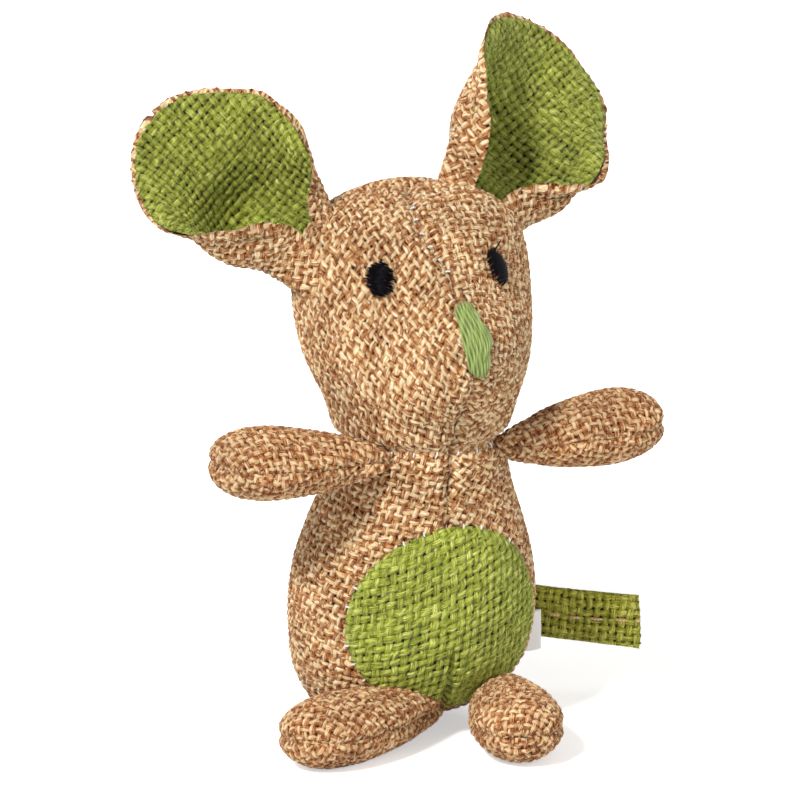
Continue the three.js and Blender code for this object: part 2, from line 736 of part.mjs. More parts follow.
// An oval on a form's front, given by its middle and half sizes. Its ends are squared off as
// its bluntness goes from 1 to 0.
function frontOval(form, across, height, halfWidth, halfHeight, blunt = 1) {
  return (share, angle) => {
    const rise = Math.sin(angle);
    const side = Math.cos(angle);
    const t = rowFor(form, height + share * halfHeight * Math.sign(rise) * Math.abs(rise) ** blunt);
    const out = share * halfWidth * Math.sign(side) * Math.abs(side) ** blunt;
    return { t, round: frontAngle(form, t, across + out) };
  };
}

function patchPlace(share, angle) {
  const t = rowFor(body, PATCH_HEIGHT + share * PATCH_HALF_LENGTH * Math.sin(angle));
  return { t, round: -Math.PI / 2 + PATCH_TURN + share * PATCH_HALF_ANGLE * Math.cos(angle) };
}
const patch = solidOf(flipped(padGeometry(body, patchPlace, PATCH_RINGS, PATCH_SIDES, CLOTH)));
const patchRound = takeAway(patch, seatHollows(seatRoots, hollowRadius, 0));
addPiece("belly_patch", geometryOf(patchRound), GREEN_LINEN);

function flipped(geometry) {
  const index = Array.from(geometry.index.array);
  for (let i = 0; i < index.length; i += 3) [index[i + 1], index[i + 2]] = [index[i + 2], index[i + 1]];
  geometry.setIndex(index);
  return geometry;
}

const EYE_RINGS = 3;
const EYE_SIDES = 16;
for (const [side, sign] of Object.entries(SIDES)) {
  const place = frontOval(head, sign * EYE_SPREAD, BODY_HEIGHT + EYE_RISE, EYE_HALF_WIDTH, EYE_HALF_LENGTH);
  addPiece(`${side}_eye`, flipped(padGeometry(head, place, EYE_RINGS, EYE_SIDES, THREAD)), FLOSS_BLACK);
}

const NOSE_RINGS = 4;
const NOSE_SIDES = 20;
const NOSE_BLUNT_SHARE = 0.6;
const nosePlace = frontOval(
  head,
  0,
  BODY_HEIGHT + NOSE_RISE - NOSE_LENGTH / 2,
  NOSE_HALF_WIDTH,
  NOSE_LENGTH / 2,
  NOSE_BLUNT_SHARE,
);
addPiece("nose", flipped(padGeometry(head, nosePlace, NOSE_RINGS, NOSE_SIDES, THREAD)), FLOSS_GREEN);

// Ears: each is a leaf of two cloths, folded into a funnel on a root bar, with its side edges
// turned out as a lip. Rows hold the place along the ear, then the funnel's middle, half width and
// depth, the degrees that it folds through towards -X and +X, and the length of the lip. Places
// are shares of the ear's length and sizes are shares of its half width.
const EAR_SHARES = {
  right: [
    [0.03, 0.05, 0.55, 0.27, 162, 146, 0.09],
    [0.08, 0.03, 0.6, 0.31, 156, 138, 0.135],
    [0.16, 0, 0.69, 0.37, 140, 112, 0.2],
    [0.27, -0.03, 0.75, 0.41, 118, 95, 0.23],
    [0.39, -0.02, 0.8, 0.45, 96, 80, 0.23],
    [0.51, 0, 0.84, 0.47, 78, 68, 0.22],
    [0.63, 0.02, 0.87, 0.47, 62, 62, 0.2],
    [0.76, 0.02, 0.9, 0.46, 45, 46, 0.17],
    [0.87, 0.02, 0.94, 0.43, 30, 32, 0.13],
    [0.96, 0.03, 0.96, 0.4, 16, 17, 0.07],
    [0.99, 0.04, 0.98, 0.4, 4, 4, 0.03],
  ],
  left: [
    [0.03, -0.04, 0.68, 0.28, 134, 152, 0.09],
    [0.08, -0.05, 0.74, 0.32, 124, 142, 0.135],
    [0.16, -0.07, 0.83, 0.38, 108, 122, 0.23],
    [0.28, -0.11, 0.87, 0.44, 96, 104, 0.26],
    [0.4, -0.17, 0.87, 0.49, 86, 90, 0.26],
    [0.53, -0.21, 0.86, 0.52, 76, 80, 0.23],
    [0.66, -0.22, 0.87, 0.52, 66, 66, 0.2],
    [0.8, -0.19, 0.89, 0.49, 52, 54, 0.17],
    [0.91, -0.14, 0.93, 0.46, 38, 42, 0.13],
    [0.99, -0.1, 0.96, 0.43, 22, 24, 0.07],
    [1.03, -0.09, 0.98, 0.4, 4, 4, 0.03],
  ],
};
const EAR_PARITY = [1, 1, 1, 1, 1, 1, 1];
const EAR_LIP_START = 0.72; // share of the way out to an edge where the lip begins
const EAR_LIP_CURL = 0.75;
const EAR_STEPS = 12;
const EAR_COLUMNS = 16;

// A point of the ear's middle surface, moved over it towards the hollow: along and across are
// shares of its length and width. The ear runs along +Z from its root bar, and its front faces -Y.
function earPoint(rows, along, across, over, rim) {
  const at = throughRows(rows, EAR_PARITY);
  const [up, centre, wideShare, deepShare, low, high, lipShare] = at(along * (rows.length - 1));
  const [wide, deep, lip] = [wideShare, deepShare, lipShare].map((share) => share * EAR_HALF_WIDTH);
  const side = Math.sign(across);
  const far = Math.min(Math.abs(across), 1 - rim / Math.max(wide, 2 * rim));
  const fold = THREE.MathUtils.degToRad(side < 0 ? low : high) * Math.min(far / EAR_LIP_START, 1);
  const out = Math.max(0, (far - EAR_LIP_START) / (1 - EAR_LIP_START));
  const edgeward = new THREE.Vector2(wide * Math.cos(fold), -deep * Math.sin(fold)).normalize();
  const outward = new THREE.Vector2(-edgeward.y, edgeward.x);
  const place = new THREE.Vector2(wide * Math.sin(fold), -deep * (1 - Math.cos(fold)));
  place.addScaledVector(edgeward, lip * out).addScaledVector(outward, lip * EAR_LIP_CURL * out ** 2);
  const turned = outward.addScaledVector(edgeward, -2 * EAR_LIP_CURL * out).normalize();
  place.addScaledVector(turned, -over);
  return new THREE.Vector3(centre * EAR_HALF_WIDTH + side * place.x, place.y, up * EAR_LENGTH);
}

function earSheet(rows, low, high, rim, topShare) {
  const grid = (over) => {
    const lines = [];
    for (let k = 0; k <= EAR_STEPS; k += 1) {
      const line = [];
      for (let i = 0; i <= EAR_COLUMNS; i += 1) {
        const across = -1 + (2 * i) / EAR_COLUMNS;
        line.push(earPoint(rows, Math.min(k / EAR_STEPS, topShare), across, over, rim));
      }
      lines.push(line);
    }
    return lines;
  };
  const back = grid(low);
  const front = grid(high);
  const rings = back.map((line, k) => [...line, ...front[k].reverse()]);
  return flipped(sheetLoft(rings));
}

// As loft, for rings that run along one face of a sheet and back along the other. Each end
// closes straight across the sheet's thickness.
function sheetLoft(rings) {
  const geometry = loft(rings);
  const index = Array.from(geometry.index.array);
  const around = rings[0].length;
  const last = around * (rings.length - 1);
  for (let i = 0; i + 1 < around / 2; i += 1) {
    const [a, b, c, d] = [i, i + 1, around - 2 - i, around - 1 - i];
    index.push(b, a, d, b, d, c, last + a, last + b, last + d, last + b, last + c, last + d);
  }
  geometry.setIndex(index);
  return geometry;
}

// As loft, but each end ring closes flat on its own middle point.
function cappedLoft(rings) {
  const middleOf = (ring) =>
    ring.reduce((sum, p) => sum.add(p), new THREE.Vector3()).multiplyScalar(1 / ring.length);
  return loft([[middleOf(rings[0])], ...rings, [middleOf(rings[rings.length - 1])]]);
}

const EAR_LINING_TOP_SHARE = 0.96;

for (const side of Object.keys(SIDES)) {
  const middle = SEAT_GAP;
  const rows = EAR_SHARES[side];
  const back = solidOf(earSheet(rows, -middle - CLOTH, -middle, 0, 1));
  const lining = solidOf(earSheet(rows, middle, middle + CLOTH, EAR_RIM, EAR_LINING_TOP_SHARE));
  const frame = earFrames[side];
  addPiece(`${side}_ear_back`, geometryOf(back.add(earRootBar(0))), LINEN, frame);
  addPiece(`${side}_ear_lining`, geometryOf(lining.subtract(earRootBar(SEAT_GAP))), GREEN_LINEN, frame);
}

// Tail: a flat strap on edge, sewn on behind and curling round to the toy's left

const TAIL_SHARES = [
  [0, 0],
  [0.02, 0.09],
  [0.09, 0.24],
  [0.22, 0.31],
  [0.4, 0.22],
  [0.6, -0.02],
  [0.8, -0.24],
  [1, -0.42],
];
const TAIL_BOW = 26; // scale of the strap's way round the body, fore and aft
const TAIL_STEPS = 28;

function tailGeometry() {
  const curve = new THREE.CatmullRomCurve3(
    TAIL_SHARES.map(([out, behind]) => {
      const x = tailRoot.x + out * TAIL_REACH;
      return new THREE.Vector3(x, tailRoot.y + behind * TAIL_BOW, TAIL_HEIGHT - out * TAIL_DROP);
    }),
  );
  const rings = [];
  for (let k = 0; k <= TAIL_STEPS; k += 1) {
    const middle = curve.getPointAt(k / TAIL_STEPS);
    const along = curve.getTangentAt(k / TAIL_STEPS);
    const out = new THREE.Vector3(-along.y, along.x, 0).normalize().multiplyScalar(TAIL_THICKNESS / 2);
    const ring = [];
    for (const [side, up] of [[1, -1], [-1, -1], [-1, 1], [1, 1]]) {
      const corner = middle.clone().addScaledVector(out, side);
      ring.push(corner.setZ(middle.z + (up * TAIL_WIDTH) / 2));
    }
    rings.push(ring);
  }
  return cappedLoft(rings);
}

const tail = solidOf(flipped(tailGeometry())).add(tailRootSolid(TAIL_ROOT_RADIUS, TAIL_WIDTH));
addPiece("tail_strap", geometryOf(tail), GREEN_LINEN);

// Care label: a blank folded tape that stands out of the side seam under the tail

const labelRow = rowFor(body, LABEL_BASE_HEIGHT + LABEL_HEIGHT / 2);
const labelFoot = body.point(labelRow, LABEL_ANGLE);
const labelOut = normalAt(body, labelRow, LABEL_ANGLE).setZ(0).normalize();
const labelGeometry = new THREE.BoxGeometry(LABEL_LENGTH, LABEL_THICKNESS, LABEL_HEIGHT);
labelGeometry.translate(LABEL_LENGTH / 2 + 2 * SEAT_GAP, 0, 0);
const labelFrame = limbFrame(labelFoot, labelOut);
addPiece("care_label", labelGeometry, LABEL_WHITE, labelFrame);

export default group;
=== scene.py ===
"""Linen mouse toy, dressed for Blender 4.5. Lengths are in millimetres until a mesh is made."""
from functools import partial, partialmethod
from math import atan2, cos, pi, radians, sin, sqrt

import bpy
import numpy as np
from mathutils import Matrix, Vector


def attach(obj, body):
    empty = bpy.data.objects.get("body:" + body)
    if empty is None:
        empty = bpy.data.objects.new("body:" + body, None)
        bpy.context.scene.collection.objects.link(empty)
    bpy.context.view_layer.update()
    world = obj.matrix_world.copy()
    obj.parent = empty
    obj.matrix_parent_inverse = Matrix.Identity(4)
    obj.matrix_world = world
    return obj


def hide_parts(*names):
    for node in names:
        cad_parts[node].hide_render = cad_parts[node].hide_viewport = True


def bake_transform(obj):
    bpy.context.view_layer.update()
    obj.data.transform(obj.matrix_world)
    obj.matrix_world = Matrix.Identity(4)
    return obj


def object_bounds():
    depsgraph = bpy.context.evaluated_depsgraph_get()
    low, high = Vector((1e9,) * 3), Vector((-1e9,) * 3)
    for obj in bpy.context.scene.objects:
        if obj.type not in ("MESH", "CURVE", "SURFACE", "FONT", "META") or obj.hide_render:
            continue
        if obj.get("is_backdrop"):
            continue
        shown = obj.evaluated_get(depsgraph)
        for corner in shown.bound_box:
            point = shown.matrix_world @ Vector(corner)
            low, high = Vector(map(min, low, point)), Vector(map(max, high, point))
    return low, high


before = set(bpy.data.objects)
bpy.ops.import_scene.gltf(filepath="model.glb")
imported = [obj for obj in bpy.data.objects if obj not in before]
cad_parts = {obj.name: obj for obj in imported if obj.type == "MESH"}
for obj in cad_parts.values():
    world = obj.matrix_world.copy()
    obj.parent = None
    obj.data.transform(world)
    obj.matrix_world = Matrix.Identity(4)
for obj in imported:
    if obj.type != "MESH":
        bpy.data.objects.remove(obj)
CAD_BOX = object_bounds()
RNG = np.random.default_rng(7)

MM = 0.001
SETBACK = 9.0  # the seat lies this far behind the body's axis
PITCH = 1.66  # from one yarn to the next
SAMPLES = 5  # mesh points to a yarn

# A loose plain weave of flat yarns, in shares of the pitch: their half widths and crowns, how far they dip
# under one another, how their sides fall away, and the gaps' floor
WARP_HALF, WEFT_HALF, WARP_CROWN, WEFT_CROWN = 0.37, 0.4, 0.12, 0.12
DIP, FALL, FLOOR = 0.17, 0.9, -0.2
TWIST = 3.8  # pitches in which a yarn's two plies turn once round each other
CLOTH_LEVEL = 0.24  # the weave's height, in pitches, that lies on a panel's surface
# The cloth's unevenness: how much, and how often to the pitch across the warp and across the weft
DRIFT, SWAY, QUIVER, PUCKER = (0.16, 0.9, 0.9), (0.3, 0.16, 0.16), (0.1, 0.7, 0.7), (0.25, 0.5, 0.5)
WARP_SWELL, WEFT_SWELL = (0.24, 1.1, 0.3), (0.3, 0.3, 1.1)
DRIFT_START, LUMP_START = 2, 4  # how far from a seam the yarns drift and the lumps rise in full
LUMP_SIZE, SEAM_PRESS = 11, 0.4  # how wide the lumps are, and how much of its relief a seam flattens
PANEL_STEP = 40  # keeps the panels' coordinates apart
SIDE_POINTS = 90  # points along each side of a panel
SLOPE_STEP = 0.004  # the share of a panel over which its slopes are taken
LEAST_FACE = 1e-3  # a face with less area than this is left out


# Smooth curves through rows of sizes, as in the solid model


def through(rows, parity):
    rows = np.asarray(rows, float)
    parity = np.asarray(parity, float)
    full = np.vstack([rows[1] * parity, rows, rows[-2] * parity])
    last = len(rows) - 1

    def at(t):
        t = np.clip(np.asarray(t, float), 0, last)
        k = np.minimum(np.floor(t).astype(int), last - 1)
        f = (t - k)[..., None]
        near, far = full[k + 1], full[k + 2]
        leave = (far - full[k]) / 2
        arrive = (full[k + 3] - near) / 2
        cubic = 2 * near - 2 * far + leave + arrive
        square = 3 * far - 3 * near - 2 * leave - arrive
        return ((cubic * f + square) * f + leave) * f + near

    return at, last


def signed_power(x, p):
    return np.sign(x) * np.abs(x) ** p


class Form:
    """A stack of sections: height, middle, half width, front and back depth, front roundness."""

    def __init__(self, rows):
        self.at, self.last = through(rows, [1, 1, -1, -1, -1, 1])

    def point(self, t, angle):
        height, middle, wide, front, back, rounding = np.moveaxis(self.at(t), -1, 0)
        across, along = np.cos(angle), np.sin(angle)
        bend = 2 / np.where(along < 0, rounding, 2)
        depth = np.where(along < 0, front, back)
        x = wide * signed_power(across, bend)
        y = middle + depth * signed_power(along, bend) - SETBACK
        return np.stack(np.broadcast_arrays(x, y, height), -1)

    def row_for(self, height):
        t = np.linspace(0, self.last, 4000)
        return np.interp(height, np.maximum.accumulate(self.at(t)[:, 0]), t)

    def front_angle(self, t, across):
        row = self.at(t)
        share = np.minimum(np.abs(across) / row[..., 2], 1)
        return -pi / 2 + np.sign(across) * (pi / 2 - np.arccos(share ** (row[..., 5] / 2)))


BODY_HEIGHT, BODY_WIDE, BODY_DEEP, CHEST_LEAN = 61, 25.6, 20, 5
BODY_SHARES = [
    (-0.008, 1.05, 0, 0, 0), (-0.0065, 1.03, 0, 0.2, 0.16), (0.007, 0.95, 0, 0.4, 0.33),
    (0.057, 0.6, 0, 0.675, 0.59), (0.12, 0.35, 0, 0.82, 0.765), (0.195, 0.18, 0, 0.925, 0.88),
    (0.285, 0.06, 0, 0.98, 0.955), (0.43, 0, 0.02, 1, 1), (0.58, 0, 0.12, 0.955, 0.968),
    (0.715, 0, 0.34, 0.86, 0.882), (0.83, 0, 0.64, 0.755, 0.81), (0.93, 0, 0.9, 0.685, 0.82),
    (1, 0, 1, 0.664, 0.85), (1.055, 0, 1, 0.56, 0.72), (1.09, 0, 1, 0, 0),
]
body = Form([
    (up * BODY_HEIGHT, behind * SETBACK - lean * CHEST_LEAN, wide * BODY_WIDE, *[deep * BODY_DEEP] * 2, 2)
    for up, behind, lean, wide, deep in BODY_SHARES
])

BALL, HEAD_HEIGHT, HEAD_WIDE, HEAD_DEEP, SNOUT = 19, 50, 25, 21, 33.4
NECK = np.array([0, -CHEST_LEAN - SETBACK, BODY_HEIGHT + sqrt(BALL**2 - 17**2)])
HEAD_SHARES = [
    (0.18, 0, 0.795, 0.812, 0.71, 1.8), (0.28, 0.05, 0.885, 0.93, 0.81, 1.62),
    (0.385, 0.1, 0.955, 1, 0.9, 1.48), (0.5, 0.14, 0.99, 0.955, 0.97, 1.38), (0.62, 0.17, 1, 0.78, 1, 1.28),
    (0.74, 0.2, 0.965, 0.6, 0.97, 1.38), (0.85, 0.24, 0.86, 0.41, 0.85, 1.75),
    (0.94, 0.3, 0.62, 0.24, 0.6, 1.9), (0.99, 0.33, 0.3, 0.06, 0.37, 2), (1, 0.335, 0, 0, 0, 2),
]


def head_rows():
    rows = []
    for k in range(5):
        wide = BALL * sin(k * pi / 9)
        rows.append((NECK[2] - BALL * cos(k * pi / 9), -CHEST_LEAN, wide, wide, wide, 2))
    for up, behind, wide, snout, back, rounding in HEAD_SHARES:
        middle = -CHEST_LEAN + behind * HEAD_DEEP
        front = snout * SNOUT + middle if wide else 0
        rear = back * HEAD_DEEP - middle if wide else 0
        rows.append((BODY_HEIGHT + up * HEAD_HEIGHT, middle, wide * HEAD_WIDE, front, rear, rounding))
    return rows


head = Form(head_rows())

LIMB_BALL, LIMB_WIDE, LIMB_THICK = 4.6, 9.6, 7.3
LIMB_SHARES = [
    (0.13, 0.66, 0.79, 1.05), (0.3, 0.86, 0.9, 1.15), (0.49, 0.985, 0.99, 1.2), (0.67, 1, 1, 1.2),
    (0.83, 0.88, 0.87, 1.2), (0.95, 0.57, 0.56, 1.15), (1, 0, 0, 1.1),
]


def limb_form(length):
    rows = []
    for k in range(4):
        half = LIMB_BALL * sin(k * pi / 6)
        rows.append((-LIMB_BALL * cos(k * pi / 6), half, half, 1))
    rows += [(a * length, w * LIMB_WIDE, h * LIMB_THICK, e) for a, w, h, e in LIMB_SHARES]
    at, last = through(rows, [1, -1, -1, 1])

    def point(t, angle):
        along, wide, thick, edge = np.moveaxis(at(t), -1, 0)
        rise = np.sin(angle)
        return np.stack([along + 0 * angle, wide * np.cos(angle), thick * signed_power(rise, edge)], -1)

    return point, last


# Noise without textures


def smooth(x):
    x = np.clip(x, 0, 1)
    return x * x * (3 - 2 * x)


def lattice(i, j, seed):
    h = np.sin(i * 127.1 + j * 311.7 + seed * 74.7) * 43758.5453
    return h - np.floor(h)


def noise2(x, y, seed):
    i, j = np.floor(x), np.floor(y)
    fx, fy = smooth(x - i), smooth(y - j)
    near = lattice(i, j, seed) * (1 - fx) + lattice(i + 1, j, seed) * fx
    far = lattice(i, j + 1, seed) * (1 - fx) + lattice(i + 1, j + 1, seed) * fx
    return 2 * (near * (1 - fy) + far * fy) - 1


def lumps(p, size, seed):
    q = p / size
    a = noise2(q[..., 0] + 0.37 * q[..., 2], q[..., 2], seed)
    b = noise2(q[..., 1] + 5.3, q[..., 2] - 0.41 * q[..., 0], seed + 1)
    c = noise2(q[..., 0] - 2.7, q[..., 1] + 0.2 * q[..., 2], seed + 2)
    return (a + b + c) / 3


# Meshes


def new_object(name, data):
    obj = bpy.data.objects.new(name, data)
    bpy.context.collection.objects.link(obj)
    return obj


def add_piece(mesh, material, body_name, replaced=()):
    """Adds a mesh with its material, hides the nodes it replaces and hangs it on the body it rides on."""
    mesh.materials.append(material)
    obj = new_object(mesh.name, mesh)
    if replaced:
        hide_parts(*replaced)
    if body_name:
        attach(obj, body_name)
    return obj


def grid_quads(index):
    """The four corners of each cell in a grid of point numbers."""
    return np.stack([index[:-1, :-1], index[1:, :-1], index[1:, 1:], index[:-1, 1:]], -1).reshape(-1, 4)


def diagonals(quads):
    return quads[:, 2] - quads[:, 0], quads[:, 3] - quads[:, 1]


def corner_points(mesh):
    """The number of the point at each corner of each face."""
    numbers = np.empty(len(mesh.loops), int)
    mesh.loops.foreach_get("vertex_index", numbers)
    return numbers


def smooth_mesh(name, verts, faces, layer_name, uv):
    """A mesh of points in millimetres, each with a pair of coordinates."""
    mesh = bpy.data.meshes.new(name)
    mesh.from_pydata((verts * MM).tolist(), [], faces)
    mesh.validate()
    mesh.polygons.foreach_set("use_smooth", np.ones(len(mesh.polygons), bool))
    layer = mesh.uv_layers.new(name=layer_name)
    layer.data.foreach_set("uv", uv[corner_points(mesh)].ravel())
    return mesh


# Flat cutting: a panel is laid flat with little stretch, and so its yarns keep their spacing


def flat_cut(points):
    shape = points.shape[:2]
    points = points.reshape(-1, 3)
    quads = grid_quads(np.arange(len(points)).reshape(shape))
    mesh = bpy.data.meshes.new("cut")
    mesh.from_pydata((points * 0.01).tolist(), [], quads.tolist())
    obj = new_object("cut", mesh)
    mesh.uv_layers.new(name="flat")
    bpy.ops.object.select_all(action="DESELECT")
    obj.select_set(True)
    bpy.context.view_layer.objects.active = obj
    bpy.ops.object.mode_set(mode="EDIT")
    bpy.ops.mesh.select_all(action="SELECT")
    bpy.ops.uv.unwrap(method="MINIMUM_STRETCH", fill_holes=False, correct_aspect=False, iterations=30)
    bpy.ops.object.mode_set(mode="OBJECT")
    corners = corner_points(mesh)
    uv = np.empty(2 * len(corners))
    mesh.uv_layers["flat"].data.foreach_get("uv", uv)
    flat = np.zeros((len(points), 2))
    flat[corners] = uv.reshape(-1, 2)
    bpy.data.objects.remove(obj)
    bpy.data.meshes.remove(mesh)
    area = np.linalg.norm(np.cross(*diagonals(points[quads])), axis=1).sum()
    one, other = diagonals(flat[quads])
    turn = one[:, 0] * other[:, 1] - one[:, 1] * other[:, 0]
    flat *= sqrt(area / np.abs(turn).sum())
    if turn.sum() < 0:
        flat[:, 0] *= -1
    return flat.reshape(*shape, 2)


def weave_height(u, v, swell):
    """Height of the upper yarn of a plain weave, as a share of the pitch."""
    i, j = np.floor(u), np.floor(v)
    du, dv = u - i - 0.5, v - j - 0.5

    def crown(across, half, high, thick):
        reach = np.abs(across) / (half * thick)
        return high * thick * np.sqrt(np.maximum(0, 1 - reach**4)) - FALL * np.maximum(0, reach - 1)

    warp = DIP * np.cos(pi * i) * np.sin(pi * v) + crown(du, WARP_HALF, WARP_CROWN, swell[:, 0])
    weft = -DIP * np.cos(pi * j) * np.sin(pi * u) + crown(dv, WEFT_HALF, WEFT_CROWN, swell[:, 1])
    return np.maximum(np.maximum(warp, weft), FLOOR)


def unit(v):
    return v / np.maximum(np.linalg.norm(v, axis=-1, keepdims=True), 1e-9)


def lane_shares(lanes, shares, size):
    """The shares a and b at each sample of the lanes on the cut, and NaN at the others."""
    out = np.full((*size, 2), np.nan)
    for x in range(len(lanes) - 1):
        for y in range(len(lanes[0]) - 1):
            for corners in (((x, y), (x + 1, y), (x + 1, y + 1)), ((x, y), (x + 1, y + 1), (x, y + 1))):
                p = np.array([lanes[corner] for corner in corners])
                values = np.array([shares[corner] for corner in corners])
                low = np.ceil(p.min(0) - 1e-6).astype(int)
                high = np.floor(p.max(0) + 1e-6).astype(int)
                e1, e2 = p[1:] - p[0]
                det = e1[0] * e2[1] - e1[1] * e2[0]
                if (high < low).any() or abs(det) < 1e-9:
                    continue
                i, j = np.mgrid[low[0]:high[0] + 1, low[1]:high[1] + 1]
                di, dj = i - p[0, 0], j - p[0, 1]
                w1 = (di * e2[1] - dj * e2[0]) / det
                w2 = (e1[0] * dj - e1[1] * di) / det
                within = (w1 > -1e-4) & (w2 > -1e-4) & (w1 + w2 < 1 + 1e-4)
                weights = np.stack([w1[within], w2[within]], 1)
                out[i[within], j[within]] = values[0] + weights @ (values[1:] - values[0])
    return out


def square_outline(seams):
    """Points along the four sides of a panel, in a and b, and whether each is sewn."""
    t = np.linspace(0, 1, SIDE_POINTS, endpoint=False)
    sides = {"b": (t, 0 * t), "r": (0 * t + 1, t), "t": (1 - t, 0 * t + 1), "l": (0 * t, 1 - t)}
    outline = np.concatenate([np.stack(side, 1) for side in sides.values()])
    return outline, np.repeat([side in seams for side in sides], SIDE_POINTS)


def on_grid(grid, places):
    """Values of a grid at places in a and b, with straight lines between its points."""
    last = np.array(grid.shape[:2]) - 1
    x, y = np.minimum((places * last).astype(int), last - 1).T
    f, g = (places * last - np.stack([x, y], 1)).T[..., None]
    near = grid[x, y] * (1 - f) + grid[x + 1, y] * f
    far = grid[x, y + 1] * (1 - f) + grid[x + 1, y + 1] * f
    return near * (1 - g) + far * g


def widened(inside):
    """The samples inside, and all their neighbours."""
    near = inside.copy()
    near[1:] |= inside[:-1]
    near[:-1] |= inside[1:]
    near[:, 1:] |= near[:, :-1].copy()
    near[:, :-1] |= near[:, 1:].copy()
    return near


def nearest_edge(samples, edge, sewn):
    """For each sample the nearest stretch of the edge, its share along it and how far the seams are."""
    step = np.roll(edge, -1, 0) - edge
    length = np.maximum((step**2).sum(1), 1e-12)
    n = len(samples)
    nearest, gap, best, part = np.full(n, 1e9), np.full(n, 1e6), np.zeros(n, int), np.zeros(n)
    for k in range(len(edge)):
        share = np.clip(((samples - edge[k]) @ step[k]) / length[k], 0, 1)
        away = ((samples - edge[k] - share[:, None] * step[k]) ** 2).sum(1)
        closer = away < nearest
        nearest[closer], best[closer], part[closer] = away[closer], k, share[closer]
        if sewn[k]:
            gap = np.minimum(gap, away)
    return best, part, np.sqrt(gap)


class Skin:
    """Collects woven panels into one mesh with its weave coordinates."""

    def __init__(self, name):
        self.name, self.panels, self.count = name, [], 0

    def panel(self, surface, turn, seed, outward, grid, shear=0, mid=(0.5, 0.5), seams="lrbt", seam=1.3,
              seam_width=1.3, border=None, groove=None, finish=None, lift=0.0, lump=0.35):
        """Weaves one panel, whose surface(a, b) gives points for a and b from 0 to 1.

        At mid the weft lies turn degrees from the way of growing a, and shear is what the yarns' crossing
        has over a right angle. seams names the sewn sides: l and r where a is 0 and 1, b and t where b is.
        border is a closed outline in a and b instead, with its test. The cloth is drawn in by seam at its
        seams, raised by lift and lumpy by lump, and groove(p) gives the depth of any other crease.
        """
        na, nb = grid
        shares = np.stack(np.meshgrid(np.linspace(0, 1, na), np.linspace(0, 1, nb), indexing="ij"), -1)
        flat = flat_cut(surface(shares[..., 0], shares[..., 1]))
        ia, ib = int(mid[0] * (na - 1)), int(mid[1] * (nb - 1))
        way = flat[min(ia + 1, na - 1), ib] - flat[max(ia - 1, 0), ib]
        weft = atan2(way[1], way[0]) + radians(turn)
        warp = weft + radians(90 + shear)
        basis = np.array([[cos(weft), cos(warp)], [sin(weft), sin(warp)]])
        flat = (flat - flat[ia, ib]) @ basis / PITCH
        low = np.floor(flat.min((0, 1))) - 1
        size = ((np.ceil(flat.max((0, 1))) + 1 - low) * SAMPLES).astype(int)
        lanes = (flat - low) * SAMPLES - 0.5
        found = lane_shares(lanes, shares, size)
        inside = np.isfinite(found[..., 0])
        if border:
            outline, inside_test = border
            sewn = np.ones(len(outline), bool)
            inside &= inside_test(*np.moveaxis(np.nan_to_num(found), -1, 0))
        else:
            outline, sewn = square_outline(seams)

        # The samples just outside the cut are drawn on to its edge, so that the cloth ends cleanly
        samples = np.argwhere(widened(inside))
        i, j = samples.T
        inner = inside[i, j]
        best, part, gap = nearest_edge(samples.astype(float), on_grid(lanes, outline), sewn)
        gap = np.where(inner | ~sewn[best], gap / SAMPLES * PITCH, 0)
        here, following = outline[best], np.roll(outline, -1, 0)[best]
        part[np.abs(following - here).max(1) > 0.5] = 0
        a, b = np.where(inner[:, None], found[i, j], here + part[:, None] * (following - here)).T

        p = surface(a, b)
        along = surface(np.clip(a + SLOPE_STEP, 0, 1), b) - surface(np.clip(a - SLOPE_STEP, 0, 1), b)
        beside = surface(a, np.clip(b + SLOPE_STEP, 0, 1)) - surface(a, np.clip(b - SLOPE_STEP, 0, 1))
        normal = np.cross(along, beside)
        length = np.linalg.norm(normal, axis=1)
        normal = unit(normal)
        away = np.broadcast_to(outward(p), p.shape)
        if (normal * away).sum() < 0:
            normal = -normal
        weak = length < 1e-3 * np.median(length)
        normal[weak] = unit(away[weak])

        u, v = samples.T / SAMPLES + 0.5 / SAMPLES + low[:, None]

        def uneven(kind, salt):
            amount, often_u, often_v = kind
            return amount * noise2(u * often_u, v * often_v, seed + salt)

        drift = unit(along) * uneven(DRIFT, 11)[:, None] + unit(beside) * uneven(DRIFT, 12)[:, None]
        p = p + drift * np.clip(gap / DRIFT_START, 0, 1)[:, None]
        u, v = u + uneven(SWAY, 21) + uneven(QUIVER, 21), v + uneven(SWAY, 22) + uneven(QUIVER, 22)
        swell = 1 + np.stack([uneven(WARP_SWELL, 23), uneven(WEFT_SWELL, 24)], 1)
        rise = (weave_height(u, v, swell) - CLOTH_LEVEL) * PITCH
        rise = rise + lump * lumps(p, LUMP_SIZE, seed) * np.clip(gap / LUMP_START, 0, 1)
        pull = np.exp(-((gap / seam_width) ** 2)) * (1 + uneven(PUCKER, 3))
        rise = rise * (1 - SEAM_PRESS * pull) - seam * pull + lift
        if groove:
            rise = rise - groove(p)
        p = p + normal * rise[:, None]
        if finish:
            p = finish(p)

        number = np.full(size, -1)
        number[i, j] = np.arange(len(samples))
        quads = grid_quads(number)
        quads = quads[(quads >= 0).all(1)]
        quads = quads[inner[quads].any(1)]
        facing = np.cross(*diagonals(p[quads]))
        solid = np.linalg.norm(facing, axis=1) / 2 > LEAST_FACE
        quads, facing = quads[solid], facing[solid]
        if (facing * normal[quads[:, 0]]).sum() < 0:
            quads = quads[:, ::-1]
        used = np.zeros(len(p), bool)
        used[quads.ravel()] = True
        weave = np.stack([u, v], 1)[used] + PANEL_STEP * (seed % 7)
        self.panels.append((p[used], (np.cumsum(used) - 1)[quads] + self.count, weave, swell[used]))
        self.count += int(used.sum())

